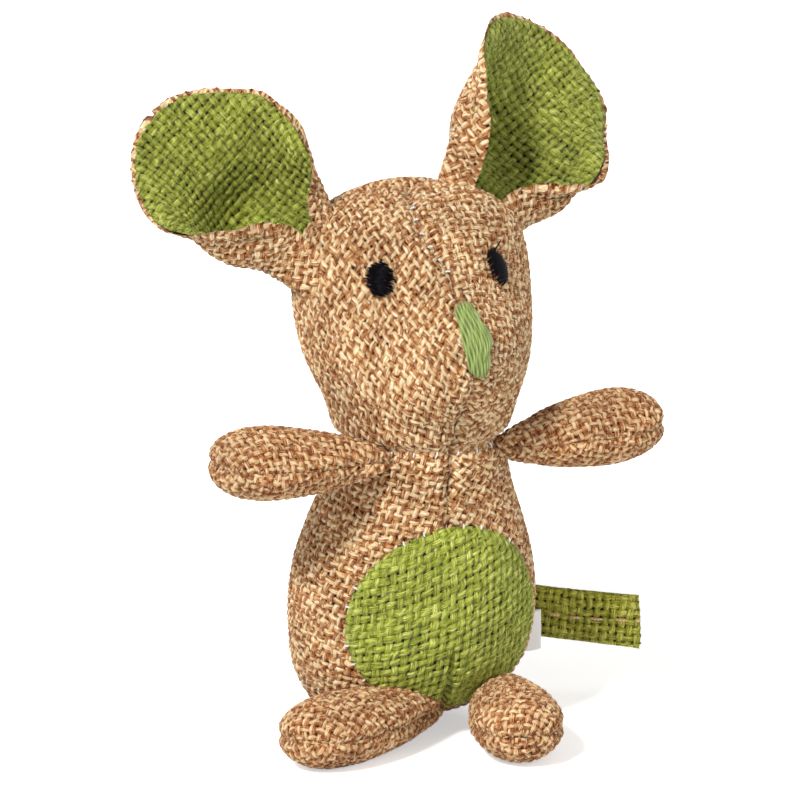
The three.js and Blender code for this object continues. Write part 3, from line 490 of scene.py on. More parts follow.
    def make(self, material, slot, body_name, replaced):
        verts, faces, weave, swell = map(np.vstack, zip(*self.panels))
        mesh = smooth_mesh(self.name, verts, faces.tolist(), "weave", weave)
        layer = mesh.attributes.new("swell", "FLOAT2", "POINT")
        layer.data.foreach_set("vector", swell.astype(np.float32).ravel())
        return add_piece(mesh, material, body_name, replaced)


# Materials


class Nodes:
    """A node tree, with short calls for what is built in it."""

    def __init__(self, tree):
        self.tree = tree

    def node(self, kind, **settings):
        made = self.tree.nodes.new(kind)
        for key, value in settings.items():
            setattr(made, key, value)
        return made

    def fill(self, node, values, output=0):
        """Sets or links a node's inputs, given in order or by name, and returns one of its outputs."""
        for key, value in values.items() if isinstance(values, dict) else enumerate(values):
            if isinstance(value, bpy.types.NodeSocket):
                self.tree.links.new(value, node.inputs[key])
            else:
                node.inputs[key].default_value = value
        return node.outputs[output]

    def math(self, operation, *values):
        return self.fill(self.node("ShaderNodeMath", operation=operation), values)

    add = partialmethod(math, "ADD")
    minus = partialmethod(math, "SUBTRACT")
    times = partialmethod(math, "MULTIPLY")
    most = partialmethod(math, "MAXIMUM")

    def vector(self, x, y, z=0.0):
        return self.fill(self.node("ShaderNodeCombineXYZ"), (x, y, z))

    def parts(self, vector):
        made = self.node("ShaderNodeSeparateXYZ")
        self.fill(made, (vector,))
        return tuple(made.outputs)

    def span(self, value, low, high, out_low, out_high):
        made = self.node("ShaderNodeMapRange", interpolation_type="SMOOTHSTEP")
        return self.fill(made, (value, low, high, out_low, out_high))

    def mix(self, share, one, other, blend="MIX"):
        made = self.node("ShaderNodeMix", data_type="RGBA", blend_type=blend)
        return self.fill(made, {"Factor": share, 6: one, 7: other}, 2)

    def ramp(self, value, pairs):
        made = self.node("ShaderNodeValToRGB")
        elements = made.color_ramp.elements
        while len(elements) < len(pairs):
            elements.new(0.5)
        for element, (place, color) in zip(elements, pairs):
            element.position, element.color = place, (*color, 1)
        return self.fill(made, (value,))

    def noise(self, vector, scale, detail, rough=0.5):
        made = self.node("ShaderNodeTexNoise")
        return self.fill(made, {"Vector": vector, "Scale": scale, "Detail": detail, "Roughness": rough})

    def bump(self, height, strength, distance):
        made = self.node("ShaderNodeBump")
        return self.fill(made, {"Height": height, "Strength": strength, "Distance": distance})


class Material(Nodes):
    def __init__(self, name):
        self.material = bpy.data.materials.new(name)
        self.material.use_nodes = True
        super().__init__(self.material.node_tree)
        self.shader = self.tree.nodes["Principled BSDF"]

    def look(self, color, rough, specular=0.5, sheen=0.0, **more):
        self.fill(self.shader, {"Base Color": color, "Roughness": rough, "Specular IOR Level": specular,
                                "Sheen Weight": sheen, **more})
        return self.material


def srgb(code):
    values = [int(code[i:i + 2], 16) / 255 for i in (1, 3, 5)]
    return tuple(v / 12.92 if v <= 0.04045 else ((v + 0.055) / 1.055) ** 2.4 for v in values)


def stops(*pairs):
    return [(place, srgb(code)) for place, code in pairs]


def tinted(pairs, *tint):
    return [(place, tuple(min(1, c * k) for c, k in zip(color, tint))) for place, color in pairs]


# A yarn's two plies, in shares of its half width: half of each, and how far they swing, lift and round up
PALE_PLY, DARK_PLY, PLY_SWING, PLY_LIFT, PLY_ROUND = 0.5, 0.65, 0.45, 0.3, 0.6
# What makes a yarn's tone: its middle, clouds along it, its fibres and painted shade in the crease between
# its plies
MIDDLE_TONE, CLOUDS, FIBRES, PLY_CREASE_SHADE = 0.46, 0.55, 2.8, -0.12
# Heights in pitches: where the painted shade of gaps and dips ends, and the painted crest highlight's start
# and end
GAP_TOP, SHADE_TOP, CREST_HIGHLIGHT_START, CREST_HIGHLIGHT_END = -0.01, 0.17, 0.2, 0.34
PLY_RELIEF, FIBRE_RELIEF, WEAVE_RELIEF, BUMP = 0.16, 0.28, 0.3, 0.9


def woven(name, tones, gap_shade, gap_light, crest_highlight, ply, rough, specular, low_end):
    """Flat two-ply yarns of a plain weave.

    ply says how far the two plies differ in tone, and low_end how much light is left where a yarn dips.
    """
    n = Material(name)
    uv = n.node("ShaderNodeUVMap", uv_map="weave").outputs[0]
    u, v, _ = n.parts(uv)
    swell = n.parts(n.node("ShaderNodeAttribute", attribute_name="swell").outputs["Vector"])
    i, j = n.math("FLOOR", u), n.math("FLOOR", v)

    def yarn(lane, along, place, half, high, thickness, sign, salt):
        """The height of one way's yarns, as in weave_height, with their color and relief."""
        wave = n.math("SINE", n.times(along, pi))
        dip = n.times(n.times(wave, n.math("COSINE", n.times(lane, pi))), DIP * sign)
        side = n.math("DIVIDE", n.minus(n.minus(place, lane), 0.5), n.times(thickness, half))
        reach = n.math("ABSOLUTE", side)
        crown = n.math("SQRT", n.most(n.minus(1.0, n.math("POWER", reach, 4.0)), 0.0))
        fall = n.times(n.most(n.minus(reach, 1.0), 0.0), FALL)
        height = n.minus(n.add(dip, n.times(n.times(crown, thickness), high)), fall)

        own = n.add(n.times(lane, 7.31), salt)
        wander = n.noise(n.vector(n.times(along, 0.3), n.add(own, 40.0)), 1.0, 1.0)
        swing = n.add(n.times(wander, 12.0), n.times(along, 2 * pi / TWIST))
        sway, front = n.times(n.math("SINE", swing), 2.0), n.math("COSINE", swing)
        sway = n.most(n.math("MINIMUM", sway, 1.0), -1.0)

        def strand(hand, wide):
            off = n.math("DIVIDE", n.minus(side, n.times(sway, PLY_SWING * hand)), wide)
            dome = n.times(n.math("SQRT", n.most(n.minus(1.0, n.times(off, off)), 0.0)), PLY_ROUND)
            beyond = n.most(n.minus(n.math("ABSOLUTE", off), 1.0), 0.0)
            return n.minus(n.add(dome, n.times(front, PLY_LIFT * hand)), beyond)

        pale, dark = strand(1, PALE_PLY), strand(-1, DARK_PLY)
        apart = n.minus(pale, dark)
        which = n.span(apart, -0.12, 0.12, -ply / 2, ply / 2)
        # Painted shade: the tone darkens where the two plies meet
        crease = n.span(n.math("ABSOLUTE", apart), 0.0, 0.22, PLY_CREASE_SHADE, 0.0)
        cloud = n.noise(n.vector(n.times(along, 0.6), own), 1.0, 2.0, 0.6)
        hair = n.add(own, n.times(side, 3.6))
        fibres = n.noise(n.vector(n.times(along, 0.75), hair, 3.0), 1.0, 3.0, 0.8)
        tone = n.add(n.times(n.minus(cloud, 0.5), CLOUDS), n.add(which, crease))
        tone = n.add(n.add(tone, n.times(n.minus(fibres, 0.5), FIBRES)), MIDDLE_TONE)
        relief = n.add(n.times(n.most(pale, dark), PLY_RELIEF), n.times(fibres, FIBRE_RELIEF))
        return height, n.ramp(tone, tones), relief

    warp, warp_color, warp_relief = yarn(i, v, u, WARP_HALF, WARP_CROWN, swell[0], 1, 3.7)
    weft, weft_color, weft_relief = yarn(j, u, v, WEFT_HALF, WEFT_CROWN, swell[1], -1, 91.3)
    over = n.math("GREATER_THAN", warp, weft)
    top = n.most(warp, weft)
    color = n.mix(over, weft_color, warp_color)
    # Painted highlight: the yarns' tops are mixed towards a pale cream
    color = n.mix(n.span(top, CREST_HIGHLIGHT_START, CREST_HIGHLIGHT_END, 0.0, 0.25), color, (*srgb(crest_highlight), 1))
    # Painted shade: the colour grows darker and redder where a yarn dips under another
    low = n.span(top, -0.08, SHADE_TOP, low_end, 1.0)
    painted_dip_shade = n.vector(low, n.math("POWER", low, 1.15), n.math("POWER", low, 1.3))
    color = n.mix(1.0, color, painted_dip_shade, "MULTIPLY")
    # The gaps between the yarns: painted shade for the dark inside, with patches of pale backing
    patches = n.span(n.noise(uv, 0.9, 1.0), 0.5, 0.62, 0.0, 1.0)
    gap = n.mix(patches, (*srgb(gap_shade), 1), (*srgb(gap_light), 1))
    color = n.mix(n.span(top, -0.12, GAP_TOP, 0.0, 1.0), gap, color)
    shade = n.span(n.noise(uv, 0.12, 2.0), 0.3, 0.7, 0.98, 1.24)
    color = n.mix(1.0, color, n.vector(shade, shade, shade), "MULTIPLY")
    relief = n.add(n.mix(over, weft_relief, warp_relief), n.times(top, WEAVE_RELIEF))
    return n.look(color, rough, specular, 0.06, Normal=n.bump(relief, BUMP, PITCH * MM))


TAN = stops((0.0, "#5c2308"), (0.2, "#9a5222"), (0.42, "#c99052"), (0.6, "#deb880"), (0.78, "#eed6aa"),
            (1.0, "#fbecce"))
GREEN = stops((0.0, "#3e4a02"), (0.22, "#6e7a12"), (0.5, "#9aa630"), (0.75, "#c4ca60"), (1.0, "#f0f0a8"))
# The limbs' cloth is redder than the body's. The ears' linings are darker: painted shade for their hollows.
# The tail is yellower, and lighter as painted light against the body's shadow on it
LIMB_TAN = tinted(TAN, 0.91, 0.82, 0.75)
SHADED_EAR_GREEN, TAIL_GREEN_PAINTED_LIT = tinted(GREEN, 0.82, 0.8, 0.74), tinted(GREEN, 1.3, 1.15, 1.0)
TAN_LOOK = dict(gap_shade="#3a1505", gap_light="#94745a", crest_highlight="#ffeec8", ply=0.44, rough=0.75,
                specular=0.18, low_end=0.4)
GREEN_LOOK = dict(ply=0.2, rough=0.6, specular=0.25)
linen = woven("tan linen", TAN, **TAN_LOOK)
limb_linen = woven("tan linen of the limbs", LIMB_TAN, **TAN_LOOK)
green = woven("green linen", GREEN, "#141b02", "#838870", "#e2e582", low_end=0.28, **GREEN_LOOK)
# The ears' linings: a darker copy of the green, painted shade for their hollows
shaded_ear_green = woven("green linen of the ears, painted shade", SHADED_EAR_GREEN, "#161b02", "#5a6034", "#dfe480", low_end=0.22,
                  **GREEN_LOOK)
# The tail's cloth: yellower, and lighter as painted light against the body's shadow on it
tail_green_painted_lit = woven("green linen of the tail, yellower and painted lighter", TAIL_GREEN_PAINTED_LIT, "#1c2002", "#6c7044", "#efe58c", low_end=0.28,
                   **GREEN_LOOK)

# Torso

SIDE_SEAM = 0.22  # how far the side seams lie behind the widest line
FRONT = -pi / 2
TORSO_ROWS = (0.12, 12.7)  # the skin leaves out the middle of the seat and ends inside the neck
NECK_DEEP, NECK_TALL, FLOOR_GAP = 1.5, 1.5, 0.05


def form_surface(form, low, high, start, end):
    """A form's skin between two angles, each of them fixed or a function of the row."""

    def surface(a, b):
        t = start + b * (end - start)
        left = low(t) if callable(low) else low
        right = high(t) if callable(high) else high
        return form.point(t, left + a * (right - left))

    return surface


def neck_crease(p):
    return NECK_DEEP * np.exp(-(((p[:, 2] - BODY_HEIGHT) / NECK_TALL) ** 2))


def above_floor(p):
    p[:, 2] = np.maximum(p[:, 2], FLOOR_GAP)
    return p


def from_axis(p):
    out = p - np.array([0, -SETBACK, 0])
    out[:, 2] = (p[:, 2] - BODY_HEIGHT / 2) * 0.2
    return out


torso = Skin("torso_skin")
args = dict(finish=above_floor, outward=from_axis, seams="lr", groove=neck_crease)
for start, end, turn, seed, columns, mid in (
    (FRONT, SIDE_SEAM, -30, 1, 26, (0.15, 0.72)),
    (-pi - SIDE_SEAM, FRONT, -15, 2, 26, (0.8, 0.72)),
    (SIDE_SEAM, pi - SIDE_SEAM, 8, 3, 30, (0.5, 0.5)),
):
    torso.panel(form_surface(body, start, end, *TORSO_ROWS), turn, seed, grid=(columns, 44), mid=mid, **args)
torso_skin = torso.make(linen, "linen", "torso", ("body_cover", "body_filling_front", "body_filling_back"))

# Head

EAR_SEAM = 0.36  # the head's side seams run through the ears' roots
HEAD_ROWS = (2.5, head.last - 0.04)


def from_head(p):
    return p - (NECK + np.array([0, 2, 12]))


def face_seam(t):
    """The seam down the face, which strays to the toy's right over the brow."""
    row = head.at(t)
    return head.front_angle(t, -0.17 * smooth((row[..., 0] - 96) / 12) * row[..., 2])


face = Skin("head_skin")
args = dict(outward=from_head, grid=(34, 40), seams="lrt", groove=neck_crease)
for start, end, turn, seed, shear, mid in (
    (face_seam, EAR_SEAM, -30, 4, 0, (0.4, 0.5)),
    (-pi - EAR_SEAM, face_seam, 53, 5, 12, (0.6, 0.5)),
    (EAR_SEAM, pi - EAR_SEAM, 6, 6, 0, (0.5, 0.5)),
):
    face.panel(form_surface(head, start, end, *HEAD_ROWS), turn, seed, shear=shear, mid=mid, **args)
head_skin = face.make(linen, "linen", None, ("head_cover", "head_filling"))

# Limbs

ARM_LENGTH, FOOT_LENGTH = 29.4, 34.5
LIMB_ROWS = (0.5, 0.05)  # how far from its first and last rows a limb's skin ends
ROOT_ROWS, ROOT_REACH = 2, 2.6  # the rows of a limb's root, and how far each is drawn into the body
LIMBS = {
    "left_arm": ((19.4, -24.4, 60), (0.99, 0.12, 0.04), ARM_LENGTH, (4, -6)),
    "right_arm": ((-19.4, -24.4, 60), (-0.99, 0.12, 0.05), ARM_LENGTH, (-3, 5)),
    "left_foot": ((15.483, -18.545, 6.4), (-0.26, -0.966, 0.0176), FOOT_LENGTH, (20, 12)),
    "right_foot": ((-5.077, -22.434, 6.4), (-0.93, -0.37, 0.0176), FOOT_LENGTH, (-24, 10)),
}


def limb_skin(name, root, heading, length, turns, seed):
    root = np.array(root, float)
    along = unit(np.array(heading, float))
    side = unit(np.cross([0, 0, 1], along))
    basis = np.array([along, side, np.cross(along, side)])
    point, last = limb_form(length)

    def surface(sign, a, b):
        t = LIMB_ROWS[0] + a * (last - sum(LIMB_ROWS))
        p = point(t, sign * b * pi)
        p[..., 0] -= ROOT_REACH * np.maximum(ROOT_ROWS - t, 0)
        return p @ basis + root

    def away(p):
        out = p - root
        return out - (out @ along)[:, None] * along

    skin = Skin(name + "_skin")
    for k, (sign, turn) in enumerate(zip((1, -1), turns)):
        skin.panel(partial(surface, sign), turn, seed + k, away, grid=(34, 24), seam=0.9, seam_width=1.1,
                   lump=0.25, finish=above_floor, seams="tb")
    obj = skin.make(limb_linen, "linen", name, (name + "_cover", name + "_filling"))


for k, name in enumerate(LIMBS):
    limb_skin(name, *LIMBS[name], seed=10 + 2 * k)

# Ears: two cloths folded into a funnel at the root, with their edges turned out. Each has its root, the ways
# across and along, the weft's turn, the hollow's depth and lean, and rows of place along, middle, half width,
# depth, two opening angles and the lip.

EAR_LENGTH, EAR_WIDE = 37.6, 17.4
LIP_START, LIP_CURL = 0.72, 0.75
EAR_CLOTH = 0.75  # half of what the two cloths stand apart
PIT_ROW, PIT_ROWS, PIT_WIDE = 4.2, 1.8, 0.6  # where the hollow is deepest, and how far it reaches
TUCK_ROW, TUCK_ROWS = 5, 3.5  # where the lining's tuck at the root ends, and how softly
SLIM_ROW, SLIM_ROWS, SLIM = 4, 3, 0.3  # the same for how far the tuck narrows it
EARS = {
    "right": ((-24.012, -4.206, 99.859), (0.7716, 0.1796, 0.6103), (-0.61, 0.446, 0.64), 2, 9, 0.0, [
        (-0.36, 0.05, 0.36, 0.16, 165, 150, 0.03), (-0.04, 0.05, 0.5, 0.24, 164, 148, 0.07),
        (0.06, 0.04, 0.58, 0.3, 158, 140, 0.12), (0.16, 0, 0.69, 0.37, 140, 112, 0.2),
        (0.27, -0.03, 0.75, 0.41, 118, 95, 0.23), (0.39, -0.02, 0.8, 0.45, 96, 80, 0.23),
        (0.51, 0, 0.84, 0.47, 78, 68, 0.22), (0.63, 0.02, 0.87, 0.47, 62, 62, 0.2),
        (0.76, 0.02, 0.9, 0.46, 45, 46, 0.17), (0.87, 0.02, 0.94, 0.43, 30, 32, 0.13),
        (0.96, 0.03, 0.96, 0.4, 16, 17, 0.07), (0.995, 0.04, 0.98, 0.4, 1, 1, 0.01),
    ]),
    "left": ((18.498, -0.333, 105.597), (0.6578, -0.1266, -0.7425), (0.73, 0.45, 0.57), -12, 5, 0.1, [
        (-0.36, 0.02, 0.42, 0.16, 150, 162, 0.03), (-0.04, -0.04, 0.62, 0.24, 140, 156, 0.07),
        (0.06, -0.045, 0.71, 0.3, 128, 146, 0.12), (0.16, -0.07, 0.83, 0.38, 108, 122, 0.23),
        (0.28, -0.11, 0.87, 0.44, 96, 104, 0.26), (0.4, -0.17, 0.87, 0.49, 86, 90, 0.26),
        (0.53, -0.21, 0.86, 0.52, 76, 80, 0.23), (0.66, -0.22, 0.87, 0.52, 66, 66, 0.2),
        (0.8, -0.19, 0.89, 0.49, 52, 54, 0.17), (0.91, -0.14, 0.93, 0.46, 38, 42, 0.13),
        (0.99, -0.1, 0.96, 0.43, 22, 24, 0.07), (1.035, -0.09, 0.98, 0.4, 1, 1, 0.01),
    ]),
}


def ear_skins(side, root, across, along, turn, hollow, lean, rows, seed):
    root = np.array(root)
    along, across = unit(np.array(along)), unit(np.array(across))
    basis = np.array([across, np.cross(along, across), along])
    at, last = through(rows, [1] * 7)

    def point(t, s, tuck):
        up, centre, wide, deep, low, high, lip = np.moveaxis(at(t), -1, 0)
        tuck = 1 - tuck * smooth((TUCK_ROW - t) / TUCK_ROWS)
        low, high, lip = low * tuck, high * tuck, lip * tuck
        wide, deep, lip = wide * EAR_WIDE, deep * EAR_WIDE, lip * EAR_WIDE
        far = np.abs(s)
        angle = np.radians(np.where(s < 0, low, high)) * np.minimum(far / LIP_START, 1)
        out = np.clip((far - LIP_START) / (1 - LIP_START), 0, 1)
        c, n = np.cos(angle), np.sin(angle)
        tx, ty = np.array([wide * c, -deep * n]) / np.hypot(wide * c, deep * n)
        x = wide * n + lip * (out * tx - LIP_CURL * out**2 * ty)
        y = -deep * (1 - c) + lip * (out * ty + LIP_CURL * out**2 * tx)
        pit = np.cos(pi / 2 * np.minimum(np.abs(s + lean) / PIT_WIDE, 1)) ** 2
        y = y + hollow * np.exp(-(((t - PIT_ROW) / PIT_ROWS) ** 2)) * pit
        local = np.stack([centre * EAR_WIDE + np.sign(s) * x, y, up * EAR_LENGTH], -1)
        return root + local @ basis

    def sheet(reach, end, tuck, a, b):
        t = b * end
        slim = tuck * SLIM * (1 - smooth((t - SLIM_ROW) / SLIM_ROWS))
        return point(t, (2 * a - 1) * (reach - slim), tuck)

    for kind, material, slot, reach, end, way, seam, tuck in (
        ("back", linen, "linen", 1.0, last, basis[1], 2 * EAR_CLOTH, 0.0),
        ("lining", shaded_ear_green, "green_linen", 0.965, last - 0.2, -basis[1], 0.3, 0.14),
    ):
        skin = Skin(f"{side}_ear_{kind}_skin")
        skin.panel(partial(sheet, reach, end, tuck), turn, seed, lambda p: way, grid=(34, 34), seam=seam,
                   seam_width=1.0, lump=0.2, lift=EAR_CLOTH, seams="lrt")
        obj = skin.make(material, slot, f"{side}_ear", (f"{side}_ear_{kind}",))
        seed += 1


for k, side in enumerate(EARS):
    ear_skins(side, *EARS[side], seed=20 + 2 * k)

# Belly patch

PATCH_HEIGHT, PATCH_TALL, PATCH_WIDE, PATCH_TURN = 25.5, 19.8, 0.93, 0.05
PATCH_EDGE = 0.498  # the oval's half size, in shares of the square that it is cut from
DART_FOOT, DART_LEAN, DART_DEEP, DART_WIDE, DART_TOP, DART_FADE = 1.36, 0.04, 2.0, 0.55, 20.5, 3.5


def patch_surface(a, b):
    height = PATCH_HEIGHT + (2 * b - 1) * PATCH_TALL
    t = body.row_for(height)
    return body.point(t, FRONT + PATCH_TURN + (2 * a - 1) * PATCH_WIDE)


def patch_dart(p):
    """A pleat that runs up from the patch's lower edge."""
    across = p[:, 0] - (DART_FOOT - DART_LEAN * p[:, 2])
    return DART_DEEP * np.exp(-((across / DART_WIDE) ** 2)) * smooth((DART_TOP - p[:, 2]) / DART_FADE)


turns = np.linspace(0, 2 * pi, 160, endpoint=False)
oval = 0.5 + PATCH_EDGE * np.stack([np.cos(turns), np.sin(turns)], 1)
patch = Skin("patch_skin")
border = (oval, lambda a, b: np.hypot(a - 0.5, b - 0.5) < PATCH_EDGE)
patch.panel(patch_surface, -2, 30, from_axis, shear=22, grid=(36, 36), seam=1.1, seam_width=0.9, lift=1.25,
            lump=0.25, groove=patch_dart, border=border)
patch_skin = patch.make(green, "green_linen", "torso", ("belly_patch",))

# Tail

TAIL_WIDTH, TAIL_REACH, TAIL_HEIGHT, TAIL_DROP, TAIL_BOW, TAIL_ROOT = 10.6, 54, 18.6, 6, 26, 11.14
CURL_ROWS, CURL_HOLLOW, CURL_LEAN = 1.4, 0.4, 1.2  # how the strap's end curls
TAIL_SHARES = [(0, 0), (0.02, 0.09), (0.09, 0.24), (0.22, 0.31), (0.4, 0.22), (0.6, -0.02), (0.8, -0.24),
               (1, -0.42)]
tail_at, tail_last = through([
    (out * TAIL_REACH, TAIL_ROOT + bow * TAIL_BOW, TAIL_HEIGHT - out * TAIL_DROP) for out, bow in TAIL_SHARES
], [1, 1, 1])


def tail_side(t):
    """The way out of the strap's front face."""
    way = unit(tail_at(t + 0.05) - tail_at(t - 0.05))
    return np.stack([-way[..., 1], way[..., 0], 0 * way[..., 0]], -1)


def tail_point(t, across):
    curl = np.clip((t - tail_last) / CURL_ROWS + 1, 0, 1) ** 2
    shift = [-CURL_HOLLOW * curl * across * across, 0 * curl, across * TAIL_WIDTH / 2 + 0 * curl]
    return tail_at(t) + np.stack(shift, -1) + tail_side(t) * (CURL_LEAN * curl * across)[..., None]


tail = Skin("tail_skin")
for sign, seed in ((1, 32), (-1, 33)):
    tail.panel(lambda a, b: tail_point(a * tail_last, 2 * b - 1), 3, seed, lambda p: (0.3 * sign, sign, 0),
               grid=(50, 12), seam=0.9, seam_width=0.8, lift=0.75, lump=0.15)
tail_skin = tail.make(tail_green_painted_lit, "green_linen", "tail", ("tail_strap",))

# Threads


class Threads:
    """Collects round threads into one mesh, with u along each and v round it."""

    def __init__(self, name, sides=6):
        self.name, self.sides, self.verts, self.faces, self.uv, self.count = name, sides, [], [], [], 0

    def add(self, points, radius, blunt=12):
        """A thread through the points; a larger blunt keeps it full nearer to its ends."""
        points = np.asarray(points, float)
        n, m = len(points), self.sides
        way = unit(np.gradient(points, axis=0))
        across = [np.cross(way[0], [0.3, 0.2, 0.9])]
        for step in way:
            across.append(unit(across[-1] - step * (across[-1] @ step)))
        across = np.array(across[1:])
        other = np.cross(way, across)
        fat = radius * np.maximum(1 - np.abs(np.linspace(-1, 1, n)) ** blunt, 0.06) ** 0.5
        turn = np.linspace(0, 2 * pi, m, endpoint=False)
        ring = across[:, None] * np.cos(turn)[:, None] + other[:, None] * np.sin(turn)[:, None]
        run = np.concatenate([[0], np.cumsum(np.linalg.norm(np.diff(points, axis=0), axis=1))])
        uv = np.stack(np.broadcast_arrays(run[:, None], turn[None] / (2 * pi)), -1)
        i = np.arange(n * m).reshape(n, m)
        j = np.roll(i, -1, 1)
        quads = np.stack([i[:-1], j[:-1], j[1:], i[1:]], -1).reshape(-1, 4)
        self.verts.append((points[:, None] + ring * fat[:, None, None]).reshape(-1, 3))
        self.uv.append(uv.reshape(-1, 2) + self.count)
        for face in (*quads, i[0][::-1], i[-1]):
            self.faces.append((face + self.count).tolist())
        self.count += n * m

    def make(self, material, slot, body_name, replaced=()):
        mesh = smooth_mesh(self.name, np.vstack(self.verts), self.faces, "run", np.vstack(self.uv))
        return add_piece(mesh, material, body_name, replaced)


def floss(name, dark, mid, light, rough, lay=0.6, sheen=0.0, specular=0.5):
    """A thread of two strands, which turn half round each other in a lay."""
    n = Material(name)
    along, around, _ = n.parts(n.node("ShaderNodeUVMap", uv_map="run").outputs[0])
    phase = n.add(n.times(along, 2 * pi / lay), n.times(around, 4 * pi))
    ply = n.math("ABSOLUTE", n.math("SINE", n.times(phase, 0.5)))
    streaks = n.noise(n.vector(n.times(along, 0.8), n.times(around, 9.0)), 1.6, 3.0, 0.6)
    # The ply term paints shade in the grooves between the two strands and light on their middles
    tone = n.add(n.times(ply, 0.6), n.times(streaks, 0.4))
    color = n.ramp(tone, [(0.15, dark), (0.5, mid), (0.85, light)])
    return n.look(color, rough, specular, sheen, Normal=n.bump(tone, 0.6, 0.25 * MM))


black_floss = floss("black floss", (0.0005, 0.0005, 0.001), (0.001, 0.001, 0.002), (0.005, 0.005, 0.008),
                    rough=0.28, lay=3, specular=0.05)
green_floss = floss("green floss", srgb("#3c4c0c"), srgb("#728632"), srgb("#b4c674"), rough=0.5, lay=5,
                    sheen=0.15)
white_thread = floss("white thread", srgb("#b9b4ad"), srgb("#e9e6e4"), srgb("#ffffff"), rough=0.45)
tan_thread = floss("tan thread", srgb("#a2703c"), srgb("#dcb078"), srgb("#f6dcac"), rough=0.6)


def on_head(x, z):
    """A point of the head's front, x across and z up, with its outward normal."""
    x, z = np.broadcast_arrays(np.asarray(x, float), np.asarray(z, float))

    def at(x, z):
        t = head.row_for(z)
        return head.point(t, head.front_angle(t, x))

    h = 0.3
    dx, dz = at(x + h, z) - at(x - h, z), at(x, z + h) - at(x, z - h)
    return at(x, z), unit(np.cross(dx, dz))


# Eyes in satin stitch: short threads laid across an oval

EYE_THREADS = 24
# Middle across and up, half width, half height and lean of each eye
EYES = {"right": (-12.8, 96.3, 2.2, 3.2, 0.29), "left": (11.4, 96.5, 2.1, 3.4, -0.4)}
for side, (x0, z0, wide, tall, lean) in EYES.items():
    eye = Threads(f"{side}_eye_satin", sides=8)
    c, n = cos(lean), sin(lean)

    def on_eye(along, up):
        return on_head(x0 + c * along + n * up, z0 - n * along + c * up)

    for k in range(EYE_THREADS):
        f = -1 + 2 * (k + 0.5) / EYE_THREADS
        reach = wide * sqrt(1 - f * f)
        ends = reach + RNG.uniform(-0.1, 0.5, 2)
        s = np.linspace(-1, 1, 9)
        p, out = on_eye(np.where(s < 0, s * ends[0], s * ends[1]), f * tall + 0.25 * s * RNG.uniform(-1, 1))
        dome = 0.5 + 0.95 * np.sqrt(np.maximum(0, 1 - s**2)) * sqrt(1 - 0.8 * f * f)
        eye.add(p + out * dome[:, None], tall / EYE_THREADS * 1.35)
    if side == "left":  # a loose end stands off at its upper corner
        s = np.linspace(0, 1, 7)
        p, out = on_head(x0 - 0.4 + 2.0 * s, z0 + 2.9 + 0.9 * s + 0.5 * s * s)
        eye.add(p + out * (0.9 + 0.6 * s)[:, None], 0.15)
    eye.make(black_floss, "black_floss", "head", (f"{side}_eye",))

# Nose in two layers of long stitches, with a bundle that bulges over on one side

NOSE_TOP, NOSE_BOTTOM, NOSE_MIDDLE, NOSE_WIDE = 92.8, 79.6, 0.35, 1.95
NOSE_THREADS, NOSE_THREAD, NOSE_BLUNT = 9, 0.3, 10
BUNDLE_TOP, BUNDLE_BOTTOM, BUNDLE_THREADS = 90.4, 82.4, 5
nose = Threads("nose_stitches", sides=8)
s = np.linspace(0, 1, 16)
belly = np.sin(pi * s)
for k in range(NOSE_THREADS):
    f = -1 + 2 * k / (NOSE_THREADS - 1)
    z = NOSE_TOP - 1.3 * f * f - 0.3 * f + (NOSE_BOTTOM - NOSE_TOP + 2.4 * f * f) * s
    p, out = on_head(NOSE_MIDDLE + NOSE_WIDE * f + 0.2 * belly * f + 0.08 * np.sin(9 * s + k), z)
    nose.add(p + out * (0.5 + 0.5 * (1 - f * f) + 0.25 * belly)[:, None], NOSE_THREAD, NOSE_BLUNT)
    if k < NOSE_THREADS - 1:
        p, out = on_head(NOSE_MIDDLE + NOSE_WIDE * (f + 0.125), z - 0.2)
        nose.add(p + out * (0.3 + 0.5 * (1 - f * f) + 0.2 * belly)[:, None], NOSE_THREAD, NOSE_BLUNT)
for k in range(BUNDLE_THREADS):
    z = BUNDLE_TOP - 0.3 * k + (BUNDLE_BOTTOM - BUNDLE_TOP + 0.6 * k) * s
    high = 1.3 + 0.3 * sin(pi * (k + 0.5) / BUNDLE_THREADS) - 0.15 * k
    for shift, drop, radius in ((0.75, 0, 0.31), (0.95, 0.25, 0.36)):
        p, out = on_head(shift + 0.25 * k + (0.3 + 0.33 * k) * belly, z)
        nose.add(p + out * (high - drop + 0.25 * belly)[:, None], radius, NOSE_BLUNT)
nose.make(green_floss, "green_floss", "head", ("nose",))

# Care label and sewing threads

LABEL_ROOT, LABEL_TURN, LABEL_OUT = (22.6, -4.15), 0.22, 8.7
LABEL_LOW, LABEL_TALL, LABEL_OPEN, LABEL_THICK = 10.2, 8.0, 0.3, 0.12
label_tape = Material("label tape").look((*srgb("#f4f2f0"), 1), 0.45)
s = np.linspace(0, 1, 13)
fold = np.linspace(-pi / 2, pi / 2, 7)[1:-1]
reach = LABEL_OUT - LABEL_OPEN
out_way = np.concatenate([s * reach, reach + LABEL_OPEN * np.cos(fold), (1 - s) * reach])
off = LABEL_OPEN * np.concatenate([0 * s - 1, np.sin(fold), 0 * s + 1]) + 0.5 * np.sin(0.35 * out_way) ** 2
x = LABEL_ROOT[0] + out_way * cos(LABEL_TURN) - off * sin(LABEL_TURN)
y = LABEL_ROOT[1] + out_way * sin(LABEL_TURN) + off * cos(LABEL_TURN)
z = LABEL_LOW + np.linspace(0, 1, 9)[:, None] * LABEL_TALL + 0.15 * np.sin(0.8 * out_way)
rows = np.stack(np.broadcast_arrays(x, y, z), -1)
label_mesh = bpy.data.meshes.new("care_label_tape")
numbers = np.arange(rows.size // 3).reshape(rows.shape[:2])
